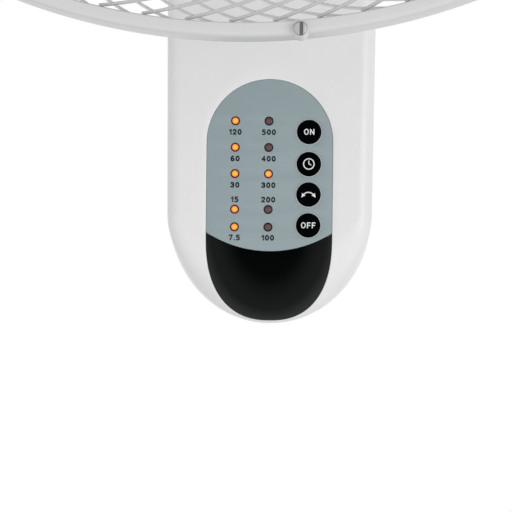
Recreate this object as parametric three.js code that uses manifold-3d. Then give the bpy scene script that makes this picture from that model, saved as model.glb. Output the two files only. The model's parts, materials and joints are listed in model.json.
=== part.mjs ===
// Wall mounted fan with an upright control housing, a tilting neck, a swinging head
// and a round guard with spiral wires. Millimetres, +Z up, the wall is the plane Y = 0
// and the fan blows towards -Y. The origin is the centre of the wall bracket's back.
import * as THREE from 'three';
import { mergeVertices } from 'three/addons/utils/BufferGeometryUtils.js';
import Module from 'manifold-3d';

const wasm = await Module();
wasm.setup();

// ---------------------------------------------------------------- driving sizes
const clearance = 0.3;            // running gap between neighbouring pieces

// control housing: outline seen from the front, measured up from its lowest point
const housingHeight = 222;
const housingHalfWidthLow = 49.2;  // at the top of the rounded chin
const housingHalfWidthHigh = 50.4; // at the bottom of the crown
const chinHeight = 52.6;           // half ellipse at the lower end
const crownHeight = 44;            // half ellipse at the upper end
const housingDepth = 80;           // wall to front face
const partingDepth = 40;           // wall to the joint of the two covers
const chinDepth = 26;              // how far the chin curves back
const chinRise = 40;               // how far up the front face the chin starts
const edgeRadius = 7;              // side edges of the front cover
const rearEdge = 5;                // rear edge of the rear cover
const coverWall = 3;
const bracketAboveBottom = 130;    // wall bracket's centre above the housing's lowest point

// panel in the front face: flat fascia above, curved lens below
const panelHalfWidth = 30.2;
const panelTopCentre = 87.8;       // centre of the half circle at the top
const lensShoulder = 41;           // where the lens starts to narrow
const lensBottom = 1.6;
const lensSquareness = 2.4;        // exponent of the lens outline
const seamRadius = 56;             // arc between fascia and lens
const seamLowest = 35.5;
const panelThickness = 1.6;
const panelRecess = 0.35;          // fascia below the front face
const ledgeWidth = 2.2;

// indicators and keys on the fascia
const ledDiameter = 3.2;
const ledHole = 4.15;
const ledColumns = [-16.5, -0.5];
const ledHeights = [97.5, 84.9, 72.3, 55.3, 46.9];
const keyDiameter = 11.6;
const keyHole = 12.6;
const keyColumn = 18.7;
const keyHeights = [92.4, 77.1, 62.6, 47.9];
const keyTravel = 0.8;
const keyProud = 1.1;

// boards
const boardHalfWidth = 35;
const boardBottom = 33;
const boardTop = 108;
const boardThickness = 1.6;
const boardBehindFace = 10;
const boardScrewInset = 2.2;
const boardPostRadius = 2.6;
const switchWidth = 6;
const switchBody = 2.2;
const switchHeight = 3.4;
const powerBoardDepth = 16;
const powerBoardHalfWidth = 30;
const powerBoardBottom = 80;
const powerBoardTop = 128;
const powerBoardInset = 4;         // screws from the board's edges
const transformerSize = [22, 16, 24];
const relaySize = [8, 8, 9];
const capacitorSize = [12, 17, 32];

// screws of the housing
const postSide = 40.3;
const postHeights = [64, 176];
const postRadius = 4.6;
const screwShankRadius = 1.7;
const screwHole = 2.1;
const screwHeadRadius = 3.4;
const screwSink = 4.3;

// cord inlet in the rear cover
const inletHeight = 44;
const inletRadius = 6;
const inletBore = 3.4;
const inletFlange = 2;

// wall bracket, neck base and the tilt hinge
const bracketWidth = 56;
const bracketHeight = 110;
const bracketThickness = 1.6;
const keyholeSpacing = 70;
const tiltDepth = 52;              // wall to tilt axis
const tiltAboveHousing = 17;
const tiltHeight = housingHeight + tiltAboveHousing; // housing's lowest point to tilt axis
const lugRadius = 13;
const lugHalfWidth = 8;
const earThickness = 8;
const boltDiameter = 8;
const boltHeadHeight = 5;
const boltHeadRadius = 7;
const boltTail = 9;                // bolt beyond the ear, for its nut
const baseHalfWidth = 22;          // neck base's foot plate
const baseThickness = 5;
const baseShelfBelowCrown = 10;    // neck base's shelf below the crown's straight part
const baseShelfHeight = 12;
const baseWall = 5;
const neckScrewSpacing = 30;
const neckScrewDrop = 16;          // below the shelf

// neck and head
const restTilt = -3;               // degrees, negative looks up
const restPan = -1.3;              // degrees, negative looks to the viewer's left
const panForward = 64.5;           // tilt axis to pan axis
const motorRise = 76;              // tilt axis to motor axis
const neckRadius = 9;
const collarRadius = 14;
const collarTop = -42;             // below the motor axis
const pinDiameter = 10;
const sleeveRadius = 11;

// swing gears
const gearModule = 1.5;
const pinionTeeth = 12;
const sectorTeeth = 42;            // of the whole circle, only the rear part is cut
const sectorHalfAngle = 54;
const gearThickness = 4;
const gearPlane = -38;
const swingMotorRadius = 12;
const swingMotorHeight = 19;

// motor, along the axis from the pan axis forwards
const motorRadius = 50;
const stackLength = 30;
const rearBellFace = 14.4;
const rearBellLength = 17;
const frontBellLength = 37.5;
const shaftDiameter = 8;
const rotorRadius = 25;
const airGap = 0.6;
const coilInner = 29;
const coilOuter = 42;
const coilRear = 9;
const coilFront = 12;
const bellWall = 4;
const noseRadius = 19;
const noseLength = 17;
const motorCoverRadius = 60;
const motorCoverRear = 65;
const motorCoverWall = 2.2;
const ventLength = 28;
const ventWidth = 4.5;
const ventPitch = 14;
const ventFirst = -48;

// guards
const ringPlane = 169;             // pan axis to the plane of the guard ring
const ringRadius = 222;
const ringWidth = 12;
const ringWall = 2;
const ringLip = 4.6;               // radial depth of the ring's lips
const ringLipWall = 1.6;
const wireCount = 48;
const wireRadius = 0.8;
const rimSize = 3;
const rimRadius = ringRadius - ringWall - clearance - rimSize / 2;
const hubPlateRadius = 58;
const hubPlate = 3;
const capSeat = 8;                 // width of the front guard's hub ring
const rearBow = [[0.353, 0.046], [0.669, 0.2], [0.898, 0.474]];    // shares of radius and depth
const frontBow = [[0.353, 0.113], [0.669, 0.367], [0.898, 0.734]];
const frontGuardDepth = 38;
const swirlHub = 0.27;             // tangent of the wire's lean at the hub
const swirlRim = 0.634;            // further turn from hub to rim, in radians
const ringScrewAngle = 5;          // degrees from the lowest point, to the viewer's right
const ringScrewInset = 1.3;
const ringScrewRadius = ringRadius - ringScrewInset;
const ringScrewLength = 6.4;
const ringScrewShank = 0.9;
const ringScrewHead = 2.4;
const ringLugRadius = 2.9;
const ringLugHeight = 1;

// impeller
const bladeCount = 5;
const bladeTipGap = 26.2;          // blade tips to the guards' rims
const bladeRadius = rimRadius - bladeTipGap;
const hubRadius = 41;
const hubLength = 40;
const hubWall = 2.4;
const impellerPlane = 147;         // pan axis to the middle of the blades
const bladeThickness = 1.8;
const bladeRootChord = 40;
const bladeTipChord = 118;
const bladeWrapRadius = 60;
const shaftBeyondHub = 16;

// ---------------------------------------------------------------- solids
const rad = THREE.MathUtils.degToRad;
const ringSides = 36;

/** Joins equal points, drops flat facets and turns the faces outwards. */
function solid(geometry) {
  let plain = geometry.index ? geometry.toNonIndexed() : geometry.clone();
  for (const key of Object.keys(plain.attributes)) {
    if (key !== 'position') {
      plain.deleteAttribute(key);
    }
  }
  plain = mergeVertices(plain, 1e-4);
  const place = plain.attributes.position.array;
  const corner = plain.index.array;
  const kept = [];
  let volume = 0;
  const [a, b, c] = [new THREE.Vector3(), new THREE.Vector3(), new THREE.Vector3()];
  for (let i = 0; i < corner.length; i += 3) {
    const [p, q, r] = [corner[i], corner[i + 1], corner[i + 2]];
    if (p === q || q === r || r === p) {
      continue;
    }
    kept.push(p, q, r);
    a.fromArray(place, 3 * p);
    b.fromArray(place, 3 * q);
    c.fromArray(place, 3 * r);
    volume += a.dot(b.cross(c));
  }
  if (volume < 0) {
    kept.reverse();
  }
  return new wasm.Manifold(new wasm.Mesh({
    numProp: 3,
    vertProperties: new Float32Array(place),
    triVerts: new Uint32Array(kept),
  }));
}

/** The triangles of a joined solid as a three.js geometry. */
function toGeometry(body) {
  const result = body.getMesh();
  const geometry = new THREE.BufferGeometry();
  geometry.setAttribute('position', new THREE.BufferAttribute(result.vertProperties, 3));
  geometry.setIndex(new THREE.BufferAttribute(result.triVerts, 1));
  geometry.computeVertexNormals();
  return geometry;
}

const join = (...bodies) => wasm.Manifold.union(bodies);
const cut = (body, ...tools) => body.subtract(wasm.Manifold.union(tools));

/** A block between two corners. */
function block(x0, x1, y0, y1, z0, z1) {
  const geometry = new THREE.BoxGeometry(Math.abs(x1 - x0), Math.abs(y1 - y0), Math.abs(z1 - z0));
  geometry.translate((x0 + x1) / 2, (y0 + y1) / 2, (z0 + z1) / 2);
  return solid(geometry);
}

/** A round bar between two points, given as [x, y, z]. */
function bar(from, to, radius, sides = 12, endRadius = radius) {
  const start = new THREE.Vector3(...from);
  const end = new THREE.Vector3(...to);
  const along = end.clone().sub(start);
  const geometry = new THREE.CylinderGeometry(endRadius, radius, along.length(), sides);
  const turn = new THREE.Quaternion();
  turn.setFromUnitVectors(new THREE.Vector3(0, 1, 0), along.clone().normalize());
  geometry.applyQuaternion(turn);
  geometry.translate(...start.add(end).multiplyScalar(0.5).toArray());
  return solid(geometry);
}

/** A turned piece about the Y axis; the profile is a closed list of [radius, y]. */
function turned(profile, sides = 20) {
  const points = [...profile, profile[0]].map(([r, y]) => new THREE.Vector2(r, y));
  return solid(new THREE.LatheGeometry(points, sides));
}

/** A turned piece about an upright axis through (x, y); the profile is [radius, z]. */
function turnedUpright(profile, x, y, sides = 16) {
  const points = [...profile, profile[0]].map(([r, z]) => new THREE.Vector2(r, z));
  const geometry = new THREE.LatheGeometry(points, sides);
  geometry.rotateX(Math.PI / 2);
  geometry.translate(x, y, 0);
  return solid(geometry);
}

/** A plate with an outline in X and Z, between depths yBack and yFront. */
function plate(outline, yBack, yFront) {
  const shape = new THREE.Shape(outline.map(([x, z]) => new THREE.Vector2(x, z)));
  const depth = Math.abs(yBack - yFront);
  const geometry = new THREE.ExtrudeGeometry(shape, { depth, bevelEnabled: false });
  geometry.rotateX(Math.PI / 2);
  geometry.translate(0, Math.max(yBack, yFront), 0);
  return solid(geometry);
}

/** A flat piece with an outline in X and Y, between two heights. */
function slab(outline, zLow, zHigh) {
  const shape = new THREE.Shape(outline.map(([x, y]) => new THREE.Vector2(x, y)));
  const geometry = new THREE.ExtrudeGeometry(shape, { depth: zHigh - zLow, bevelEnabled: false });
  geometry.translate(0, 0, zLow);
  return solid(geometry);
}

/**
 * A closed skin over rings of equal point counts. Each end is a fan, or strips across a thin
 * section, whose two faces are also split the same way so that they never meet in a twist.
 */
function loft(rings, thin = false) {
  const count = rings[0].length;
  const points = rings.flat();
  const faces = [];
  for (let r = 0; r + 1 < rings.length; r += 1) {
    for (let i = 0; i < count; i += 1) {
      const next = (i + 1) % count;
      const [a, b] = [r * count + i, r * count + next];
      const [c, d] = [a + count, b + count];
      faces.push(...(thin && i >= count / 2 ? [a, b, c, b, d, c] : [a, b, d, a, d, c]));
    }
  }
  for (const [ring, first] of [[rings[0], 0], [rings.at(-1), (rings.length - 1) * count]]) {
    if (thin) {
      for (let i = 0; i < count / 2 - 1; i += 1) {
        const [a, b] = [first + i, first + i + 1];
        const [c, d] = [first + count - 2 - i, first + count - 1 - i];
        faces.push(...(first === 0 ? [b, a, c, c, a, d] : [a, b, c, a, c, d]));
      }
      continue;
    }
    const middle = new THREE.Vector3();
    ring.forEach((p) => middle.add(p));
    points.push(middle.divideScalar(count));
    for (let i = 0; i < count; i += 1) {
      const pair = [first + i, first + ((i + 1) % count)];
      faces.push(...(first === 0 ? [pair[1], pair[0]] : pair), points.length - 1);
    }
  }
  const geometry = new THREE.BufferGeometry().setFromPoints(points);
  geometry.setIndex(faces);
  return solid(geometry);
}

/** Points on a circle or ellipse arc, both ends included. */
function arc(cx, cy, rx, ry, fromDegrees, toDegrees, steps) {
  return Array.from({ length: steps + 1 }, (_, i) => {
    const angle = rad(fromDegrees + ((toDegrees - fromDegrees) * i) / steps);
    return [cx + rx * Math.cos(angle), cy + ry * Math.sin(angle)];
  });
}

// ---------------------------------------------------------------- materials
function finish(color, roughness, metalness = 0) {
  return new THREE.MeshStandardMaterial({ color, roughness, metalness });
}
const white = finish(0xe4e5e6, 0.35);
const guardWhite = finish(0xdcdddd, 0.4);
const fasciaGrey = finish(0x96a5a8, 0.45);
const lensBlack = finish(0x050808, 0.08);
const keyBlack = finish(0x0b0b0c, 0.12);
const boardGreen = finish(0x1d5b33, 0.6);
const darkPlastic = finish(0x232426, 0.5);
const steel = finish(0xb9bcbf, 0.3, 1);
const castAlloy = finish(0x9b9da0, 0.5, 1);
const copper = finish(0xa85f33, 0.4, 1);
const brass = finish(0xb08d4c, 0.35, 1);
const amberLit = finish(0xff9a1e, 0.3);
const amberDark = finish(0x4a1b1b, 0.3);
const bladeWhite = finish(0xdfe3e6, 0.3);

const fan = new THREE.Group();

function add(group, name, material, body) {
  const mesh = new THREE.Mesh(toGeometry(body), material);
  mesh.name = name;
  group.add(mesh);
}

// ---------------------------------------------------------------- control housing
const housing = new THREE.Group();
housing.position.z = -bracketAboveBottom;
fan.add(housing);

const frontFace = -housingDepth;
const quarter = (part) => 1 - Math.sqrt(Math.max(0, 1 - part * part));

/** The housing's outline at one depth, pulled in at the sides, chin and crown. */
function housingRing(y, side, chin, crown) {
  const low = housingHalfWidthLow - side;
  const high = housingHalfWidthHigh - side;
  const crownCentre = housingHeight - crownHeight;
  const below = arc(0, chinHeight, low, chinHeight - chin, 0, -180, 14);
  const above = arc(0, crownCentre, high, crownHeight - crown, 180, 0, 10);
  return [...below, ...above].map(([x, z]) => new THREE.Vector3(x, y, z));
}

/** The front cover's outer form, or a smaller one inside it by an even amount. */
function frontForm(inside) {
  const chinStart = -(housingDepth - chinDepth);
  const depths = [partingDepth - 6, housingDepth - chinDepth];
  const chinShares = inside > 1 ? [0.5] : [0.34, 0.64];
  const edgeShares = inside > 1 ? [0.6, 1] : [0.5, 0.88, 1];
  chinShares.forEach((share) => depths.push(housingDepth - chinDepth + share * chinDepth));
  edgeShares.forEach((share) => depths.push(housingDepth - edgeRadius + share * edgeRadius));
  return loft(depths.map((depth) => {
    const y = -depth;
    const side = edgeRadius * quarter(Math.max(0, (depth - housingDepth + edgeRadius) / edgeRadius));
    const chin = chinRise * quarter(Math.max(0, (chinStart - y) / chinDepth));
    const yInside = y < chinStart ? y + inside : y;
    return housingRing(yInside, side + inside, chin + inside, side + inside);
  }));
}

/** The rear cover's form, which narrows a little towards the wall. */
function rearForm(inside, yFront) {
  const rings = [[yFront, 0], [-rearEdge - 1, 1.2], [-2.6, 2.6], [-1, rearEdge]];
  return loft(rings.map(([y, inset], index) => {
    const depth = index === 0 ? y : y - inside;
    return housingRing(depth, inset + inside, inset + inside, inset + inside);
  }));
}

/** The outline shared by fascia and lens, made smaller by an inset. */
function panelOutline(inset) {
  const half = panelHalfWidth - inset;
  const top = arc(0, panelTopCentre, half, half, 0, 180, 14);
  const drop = lensShoulder - lensBottom - inset;
  const power = 2 / lensSquareness;
  const bottom = arc(0, 0, 1, 1, 180, 360, 14).map(([c, s]) => [
    Math.sign(c) * half * Math.abs(c) ** power,
    lensShoulder - drop * Math.abs(s) ** power,
  ]);
  return [...top, ...bottom];
}

const seamCentre = seamLowest + seamRadius;
const throughHousing = [-partingDepth, frontFace - 5];
const screwPosts = postHeights.flatMap((z) => [[-postSide, z], [postSide, z]]);

function neckOpening() {
  const half = lugHalfWidth + earThickness + 2 * clearance;
  const back = -tiltDepth + lugRadius + 2 * clearance;
  const front = -tiltDepth - lugRadius - 2 * clearance;
  return block(-half, half, back, front, housingHeight - crownHeight, housingHeight + 5);
}

function frontCover() {
  const panel = plate(panelOutline(-clearance), ...throughHousing);
  const pocket = panel.subtract(frontForm(panelThickness + panelRecess + clearance));
  const window = plate(panelOutline(ledgeWidth), -partingDepth + 5, frontFace - 5);
  const joint = block(-80, 80, -partingDepth, 0, -10, housingHeight + 10);
  const shell = frontForm(0).subtract(frontForm(coverWall));
  const reach = frontFace + 0.5 * coverWall;
  const posts = screwPosts.map(([x, z]) => bar([x, -partingDepth, z], [x, reach, z], postRadius, 6));
  const holes = screwPosts.map(([x, z]) => bar([x, -30, z], [x, reach + 4, z], screwHole, 6));
  const rests = boardScrews().map(([x, z]) => bar(
    [x, frontFace + boardBehindFace - clearance, z],
    [x, frontFace + 0.75 * coverWall, z],
    boardPostRadius,
    6,
  ));
  const body = join(shell, ...posts, ...rests.map((rest) => rest.intersect(frontForm(0.5))));
  return cut(body.intersect(frontForm(0)), pocket, window, joint, neckOpening(), ...holes);
}

function boardScrews() {
  const side = boardHalfWidth - boardScrewInset;
  return [boardTop - 5, boardTop - 48].flatMap((z) => [[-side, z], [side, z]]);
}

function fasciaPanel() {
  const back = frontFace + panelRecess + panelThickness;
  const sheet = plate(panelOutline(0), back, frontFace + panelRecess);
  const upper = bar([0, back + 2, seamCentre], [0, frontFace - 2, seamCentre], seamRadius - 0.15, 40);
  const holes = [];
  for (const x of ledColumns) {
    for (const z of ledHeights) {
      holes.push(bar([x, back + 2, z], [x, frontFace - 2, z], ledHole / 2, 6));
    }
  }
  for (const z of keyHeights) {
    holes.push(bar([keyColumn, back + 2, z], [keyColumn, frontFace - 2, z], keyHole / 2, 12));
  }
  return cut(sheet.intersect(upper), ...holes);
}

function remoteLens() {
  const outline = plate(panelOutline(0), ...throughHousing);
  const skin = frontForm(0.1).subtract(frontForm(panelThickness + 0.2));
  const upper = bar([0, 0, seamCentre], [0, frontFace - 9, seamCentre], seamRadius + 0.15, 40);
  return cut(outline.intersect(skin), upper);
}

const backWall = -4.6;             // inner face of the rear cover's back wall
const pocketDepth = bracketThickness + 2 * clearance;

const hookPlaces = [-16, 16];
const hookFoot = bracketAboveBottom - 24;
const hookReach = 8;
const baseShelf = housingHeight - crownHeight - baseShelfBelowCrown;
const neckScrews = [-1, 1].map((side) => [(side * neckScrewSpacing) / 2, baseShelf - neckScrewDrop]);

function powerBoardScrews() {
  const side = powerBoardHalfWidth - powerBoardInset;
  const heights = [powerBoardBottom + powerBoardInset, powerBoardTop - powerBoardInset];
  return heights.flatMap((z) => [[-side, z], [side, z]]);
}

function rearCover() {
  const yFront = -partingDepth + clearance;
  const outer = rearForm(0, yFront);
  const inner = loft([
    housingRing(yFront - 5, coverWall, coverWall, coverWall),
    housingRing(yFront, coverWall, coverWall, coverWall),
    housingRing(backWall, 4, 4, 4),
  ]);
  const half = bracketWidth / 2 + 1;
  const tall = bracketHeight / 2 + 1;
  const centre = bracketAboveBottom;
  const pocket = block(-half, half, 0, -pocketDepth, centre - tall, centre + tall);
  const slots = hookPlaces.map((x) => block(
    x - 7, x + 7, 0, -8,
    hookFoot - hookReach - 1, hookFoot + bracketThickness + clearance,
  ));
  const posts = screwPosts.map(([x, z]) => bar([x, -2, z], [x, yFront, z], postRadius, 6));
  const holes = screwPosts.map(([x, z]) => bar([x, 0, z], [x, -partingDepth, z], screwHole, 6));
  const sinks = screwPosts.map(([x, z]) => bar([x, 0, z], [x, -6, z], screwSink, 6));
  const feet = powerBoardScrews().map(([x, z]) => bar(
    [x, backWall + 1, z],
    [x, -powerBoardDepth + boardThickness + clearance, z],
    boardPostRadius,
    6,
  ));
  const inlet = bar([0, 1, inletHeight], [0, -9, inletHeight], inletRadius + clearance, 12);
  const neckHoles = neckScrews.flatMap(([x, z]) => [
    bar([x, 1, z], [x, -9, z], screwHole, 6),
    bar([x, 1, z], [x, -pocketDepth - 1.1 - clearance, z], screwHeadRadius + clearance, 8),
  ]);
  const body = join(outer.subtract(inner), ...posts.map((post) => post.intersect(outer)), ...feet);
  return cut(body, pocket, ...slots, ...holes, ...sinks, inlet, ...neckHoles, neckOpening());
}

function cordInlet() {
  const front = backWall - clearance;
  return turned([
    [inletBore, -pocketDepth], [inletRadius, -pocketDepth], [inletRadius, front],
    [inletRadius + inletFlange, front], [inletRadius + inletFlange, front - 2], [inletBore, front - 2],
  ], 12).translate([0, 0, inletHeight]);
}

function wallBracket() {
  const half = bracketWidth / 2;
  const tall = bracketHeight / 2;
  const centre = bracketAboveBottom;
  const sheet = block(-half, half, 0, -bracketThickness, centre - tall, centre + tall);
  const holes = [];
  for (const z of [centre - keyholeSpacing / 2, centre + keyholeSpacing / 2]) {
    holes.push(bar([0, 1, z], [0, -4, z], 4.5, 12));
    holes.push(block(-2.3, 2.3, 1, -4, z, z + 10));
    holes.push(bar([0, 1, z + 10], [0, -4, z + 10], 2.3, 12));
  }
  const foot = hookFoot;
  const lip = backWall - clearance;
  const hooks = hookPlaces.flatMap((x) => [
    block(x - 6, x + 6, -0.5, lip - bracketThickness, foot, foot + bracketThickness),
    block(x - 6, x + 6, lip, lip - bracketThickness, foot, foot + hookReach),
  ]);
  return join(cut(sheet, ...holes), ...hooks);
}

function indicator(x, z) {
  const radius = ledDiameter / 2;
  const base = frontFace + boardBehindFace - clearance;
  const tip = frontFace - 0.1;
  return turned([
    [0, base], [radius, base], [radius, tip + radius * 0.5], [radius * 0.6, tip], [0, tip],
  ], 6).translate([x, 0, z]);
}

function pushKey(z) {
  const radius = keyDiameter / 2;
  const back = frontFace + panelRecess + panelThickness + clearance;
  const crown = frontFace - keyProud;
  const foot = frontFace + boardBehindFace - switchHeight - keyTravel - clearance;
  return turned([
    [0, foot], [2.6, foot], [2.6, back + 1.2], [radius + 1.2, back + 1.2], [radius + 1.2, back],
    [radius, back], [radius, crown + 1.1], [radius * 0.8, crown + 0.35], [0, crown],
  ], 10).translate([keyColumn, 0, z]);
}

function controlBoard() {
  const front = frontFace + boardBehindFace;
  const back = front + boardThickness;
  const side = boardHalfWidth;
  const sheet = block(-side, side, back, front, boardBottom, boardTop);
  const holes = boardScrews().map(([x, z]) => bar([x, 0, z], [x, frontFace, z], 1.4, 6));
  const switches = keyHeights.flatMap((z) => [
    block(
      keyColumn - switchWidth / 2, keyColumn + switchWidth / 2,
      front + 0.5, front - switchBody,
      z - switchWidth / 2, z + switchWidth / 2,
    ),
    bar([keyColumn, front, z], [keyColumn, front - switchHeight, z], 1.6, 6),
  ]);
  const chip = block(-8, 8, back - 0.2, back + 2, boardBottom + 27, boardBottom + 39);
  const plug = block(-7, 7, back - 0.2, back + 6, boardBottom + 3, boardBottom + 9);
  return join(cut(sheet, ...holes), ...switches, chip, plug);
}

function remoteReceiver() {
  const front = frontFace + boardBehindFace - clearance;
  const body = block(-14, -8, front, front - 4, 32, 40);
  const dome = bar([-11, front - 3, 36.5], [-11, front - 5.4, 36.5], 2.5, 8, 1.6);
  return join(body, dome);
}

/** A part on the power board, from its lower left corner on the board. */
function onPowerBoard([width, depth, height], x, z, gap) {
  const back = -powerBoardDepth + gap;
  return block(x, x + width, back, -powerBoardDepth - depth + Math.min(0, gap), z, z + height);
}

function powerBoard() {
  const side = powerBoardHalfWidth;
  const back = -powerBoardDepth + boardThickness;
  const sheet = block(-side, side, back, -powerBoardDepth, powerBoardBottom, powerBoardTop);
  const holes = powerBoardScrews().map(([x, z]) => bar([x, 0, z], [x, -powerBoardDepth - 4, z], 1.4, 6));
  const transformer = onPowerBoard(transformerSize, 6 - side, powerBoardBottom + 8, 0.5);
  const relays = [16, 28].map((up) => onPowerBoard(relaySize, side - 12, powerBoardBottom + up, 0.5));
  return join(cut(sheet, ...holes), transformer, ...relays);
}

function motorCapacitor() {
  return onPowerBoard(capacitorSize, 2, powerBoardBottom + 6, -clearance);
}

function housingScrew(x, z) {
  return turned([
    [0, -2.4], [screwHeadRadius - 1, -2.4], [screwHeadRadius, -3.4], [screwHeadRadius, -5.7],
    [screwShankRadius, -5.7], [screwShankRadius, -partingDepth - 22], [0, -partingDepth - 24],
  ], 6).translate([x, 0, z]);
}

function neckScrew(x, z) {
  return turned([
    [0, -pocketDepth - 0.1], [screwHeadRadius - 0.2, -pocketDepth - 0.1],
    [screwHeadRadius - 0.2, -pocketDepth - 1.1], [screwShankRadius, -pocketDepth - 1.1],
    [screwShankRadius, -13], [0, -14.5],
  ], 8).translate([x, 0, z]);
}

// ---------------------------------------------------------------- neck base and tilt hinge
function neckBase() {
  const back = backWall - clearance;
  const outer = lugHalfWidth + earThickness;
  const slot = lugHalfWidth + clearance;
  const front = -tiltDepth - lugRadius;
  const rear = -tiltDepth + lugRadius;
  const foot = baseShelf;
  const under = tiltHeight - lugRadius;
  const centre = [-tiltDepth, tiltHeight];
  const ends = (x, radius, sides) => bar([-x, ...centre], [x, ...centre], radius, sides);
  const sheet = block(-baseHalfWidth, baseHalfWidth, back, back - baseThickness, foot - 28, foot + 34);
  const shelf = block(-outer, outer, back - 1, front, foot, foot + baseShelfHeight);
  const rib = block(-4, 4, back - 1, rear - 4, foot - 24, foot + 6);
  const column = block(-outer, outer, rear, front, foot, tiltHeight);
  const gap = block(-slot, slot, rear + 5, front - 5, under - 1, tiltHeight + lugRadius + 5);
  const holes = neckScrews.map(([x, z]) => bar([x, 0, z], [x, -20, z], screwHole, 8));
  const hollow = block(
    -outer + baseWall, outer - baseWall,
    rear - baseWall, front + baseWall,
    foot - 1, under - baseWall - 1,
  );
  const body = join(sheet, shelf, rib, column, ends(outer, lugRadius, 24));
  return cut(body, gap, ends(outer + 5, boltDiameter / 2 + clearance, 12), hollow, ...holes);
}

function tiltBolt() {
  const head = -lugHalfWidth - earThickness - clearance;
  const tip = -head + boltTail;
  const centre = [-tiltDepth, tiltHeight];
  return join(
    bar([head - boltHeadHeight, ...centre], [head, ...centre], boltHeadRadius, 6),
    bar([head - 1, ...centre], [tip, ...centre], boltDiameter / 2, 10),
  );
}

function tiltNut() {
  const face = lugHalfWidth + earThickness + clearance;
  const centre = [-tiltDepth, tiltHeight];
  const body = join(
    bar([face, ...centre], [face + 1.6, ...centre], 8, 12),
    bar([face + 1.2, ...centre], [face + 7.6, ...centre], boltHeadRadius, 6),
  );
  return cut(body, bar([0, ...centre], [40, ...centre], boltDiameter / 2 + clearance, 10));
}

const neckGroup = new THREE.Group();
neckGroup.position.set(0, -tiltDepth, tiltHeight);
neckGroup.rotation.x = rad(restTilt);
housing.add(neckGroup);

/** A goose neck from the tilt lug forwards and up to the pivot collar. */
function neck() {
  const path = new THREE.CubicBezierCurve3(
    new THREE.Vector3(0, 0, 0),
    new THREE.Vector3(0, -0.55 * panForward, -2),
    new THREE.Vector3(0, -panForward, -3),
    new THREE.Vector3(0, -panForward, motorRise + collarTop - 8),
  );
  const rings = path.getPoints(5).map((point, index) => {
    const along = path.getTangent(index / 5);
    const across = new THREE.Vector3(1, 0, 0);
    const up = new THREE.Vector3().crossVectors(across, along);
    const wide = THREE.MathUtils.lerp(lugHalfWidth, collarRadius - 1, Math.max(0, index / 2.5 - 1));
    return arc(0, 0, wide, neckRadius, 0, 324, 9).map(([u, v]) => point.clone()
      .addScaledVector(across, u).addScaledVector(up, v));
  });
  const lug = bar([-lugHalfWidth, 0, 0], [lugHalfWidth, 0, 0], lugRadius - 0.5, 16);
  const top = motorRise + collarTop;
  const collar = turnedUpright([
    [0, top - 26], [collarRadius - 3, top - 26], [collarRadius, top - 22], [collarRadius, top - 2],
    [collarRadius - 2, top], [0, top],
  ], 0, -panForward);
  const pinBore = pinDiameter / 2 + clearance;
  const pinHole = bar([0, -panForward, top - 20], [0, -panForward, top + 5], pinBore, 12);
  const bore = bar([-30, 0, 0], [30, 0, 0], boltDiameter / 2 + clearance, 12);
  return cut(join(loft(rings), lug, collar), pinHole, bore);
}

function pivotPin() {
  const low = motorRise + collarTop - 20 + clearance;
  const high = motorRise + 8;
  const radius = pinDiameter / 2;
  return turnedUpright([
    [0, low], [radius, low], [radius, high - 1], [radius - 1, high], [0, high],
  ], 0, -panForward, 12);
}

// ---------------------------------------------------------------- swing gears
/** Outline of an involute gear about the origin, a tooth centred on +X. */
function gearOutline(teeth, fromTooth, toTooth) {
  const pitch = (gearModule * teeth) / 2;
  const base = pitch * Math.cos(rad(20));
  const tip = pitch + 0.92 * gearModule;
  const root = pitch - 1.25 * gearModule;
  const involute = (r) => {
    const along = Math.sqrt(Math.max(0, (r / base) ** 2 - 1));
    return along - Math.atan(along);
  };
  const backlash = 0.16 / pitch;
  const halfAtPitch = Math.PI / (2 * teeth) - backlash;
  const radii = [root, pitch, tip];
  const points = [];
  for (let tooth = fromTooth; tooth <= toTooth; tooth += 1) {
    const centre = (2 * Math.PI * tooth) / teeth;
    const flank = radii.map((r) => [r, halfAtPitch + involute(pitch) - involute(r)]);
    flank.forEach(([r, half]) => points.push([r, centre - half]));
    flank.reverse().forEach(([r, half]) => points.push([r, centre + half]));
  }
  return points.map(([r, angle]) => [r * Math.cos(angle), r * Math.sin(angle)]);
}

const gearDistance = (gearModule * (pinionTeeth + sectorTeeth)) / 2;

function sectorGear() {
  const half = Math.round((sectorTeeth * sectorHalfAngle) / 360);
  const teeth = gearOutline(sectorTeeth, -half, half);
  const low = motorRise + gearPlane;
  const rim = slab([[0, 0], ...teeth], low, low + gearThickness);
  const boss = turnedUpright([
    [0, low], [sleeveRadius, low], [sleeveRadius, low + gearThickness], [0, low + gearThickness],
  ], 0, 0);
  const hole = bar([0, 0, low - 5], [0, 0, low + 10], pinDiameter / 2 + clearance, 12);
  const body = cut(join(rim, boss), hole);
  return body.rotate([0, 0, 90]).translate([0, -panForward, 0]);
}

function swingPinion() {
  const low = gearPlane;
  const teeth = slab(gearOutline(pinionTeeth, 0, pinionTeeth - 1), low, low + gearThickness);
  const hole = bar([0, 0, low - 5], [0, 0, low + 10], 1.5 + clearance, 8);
  const gapFacesPin = -90 + 180 / pinionTeeth;
  const turn = gapFacesPin + (restPan * sectorTeeth) / pinionTeeth;
  return cut(teeth, hole).rotate([0, 0, turn]).translate([0, gearDistance, 0]);
}

// ---------------------------------------------------------------- head
const headGroup = new THREE.Group();
headGroup.position.set(0, -panForward, motorRise);
headGroup.rotation.z = rad(restPan);
neckGroup.add(headGroup);

const stackRear = -rearBellFace - rearBellLength - clearance;
const stackFront = stackRear - stackLength;
const frontBellRear = stackFront - clearance;
const frontBellFace = frontBellRear - frontBellLength;
const noseTip = frontBellFace - noseLength;
const bushRadius = 8;

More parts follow.
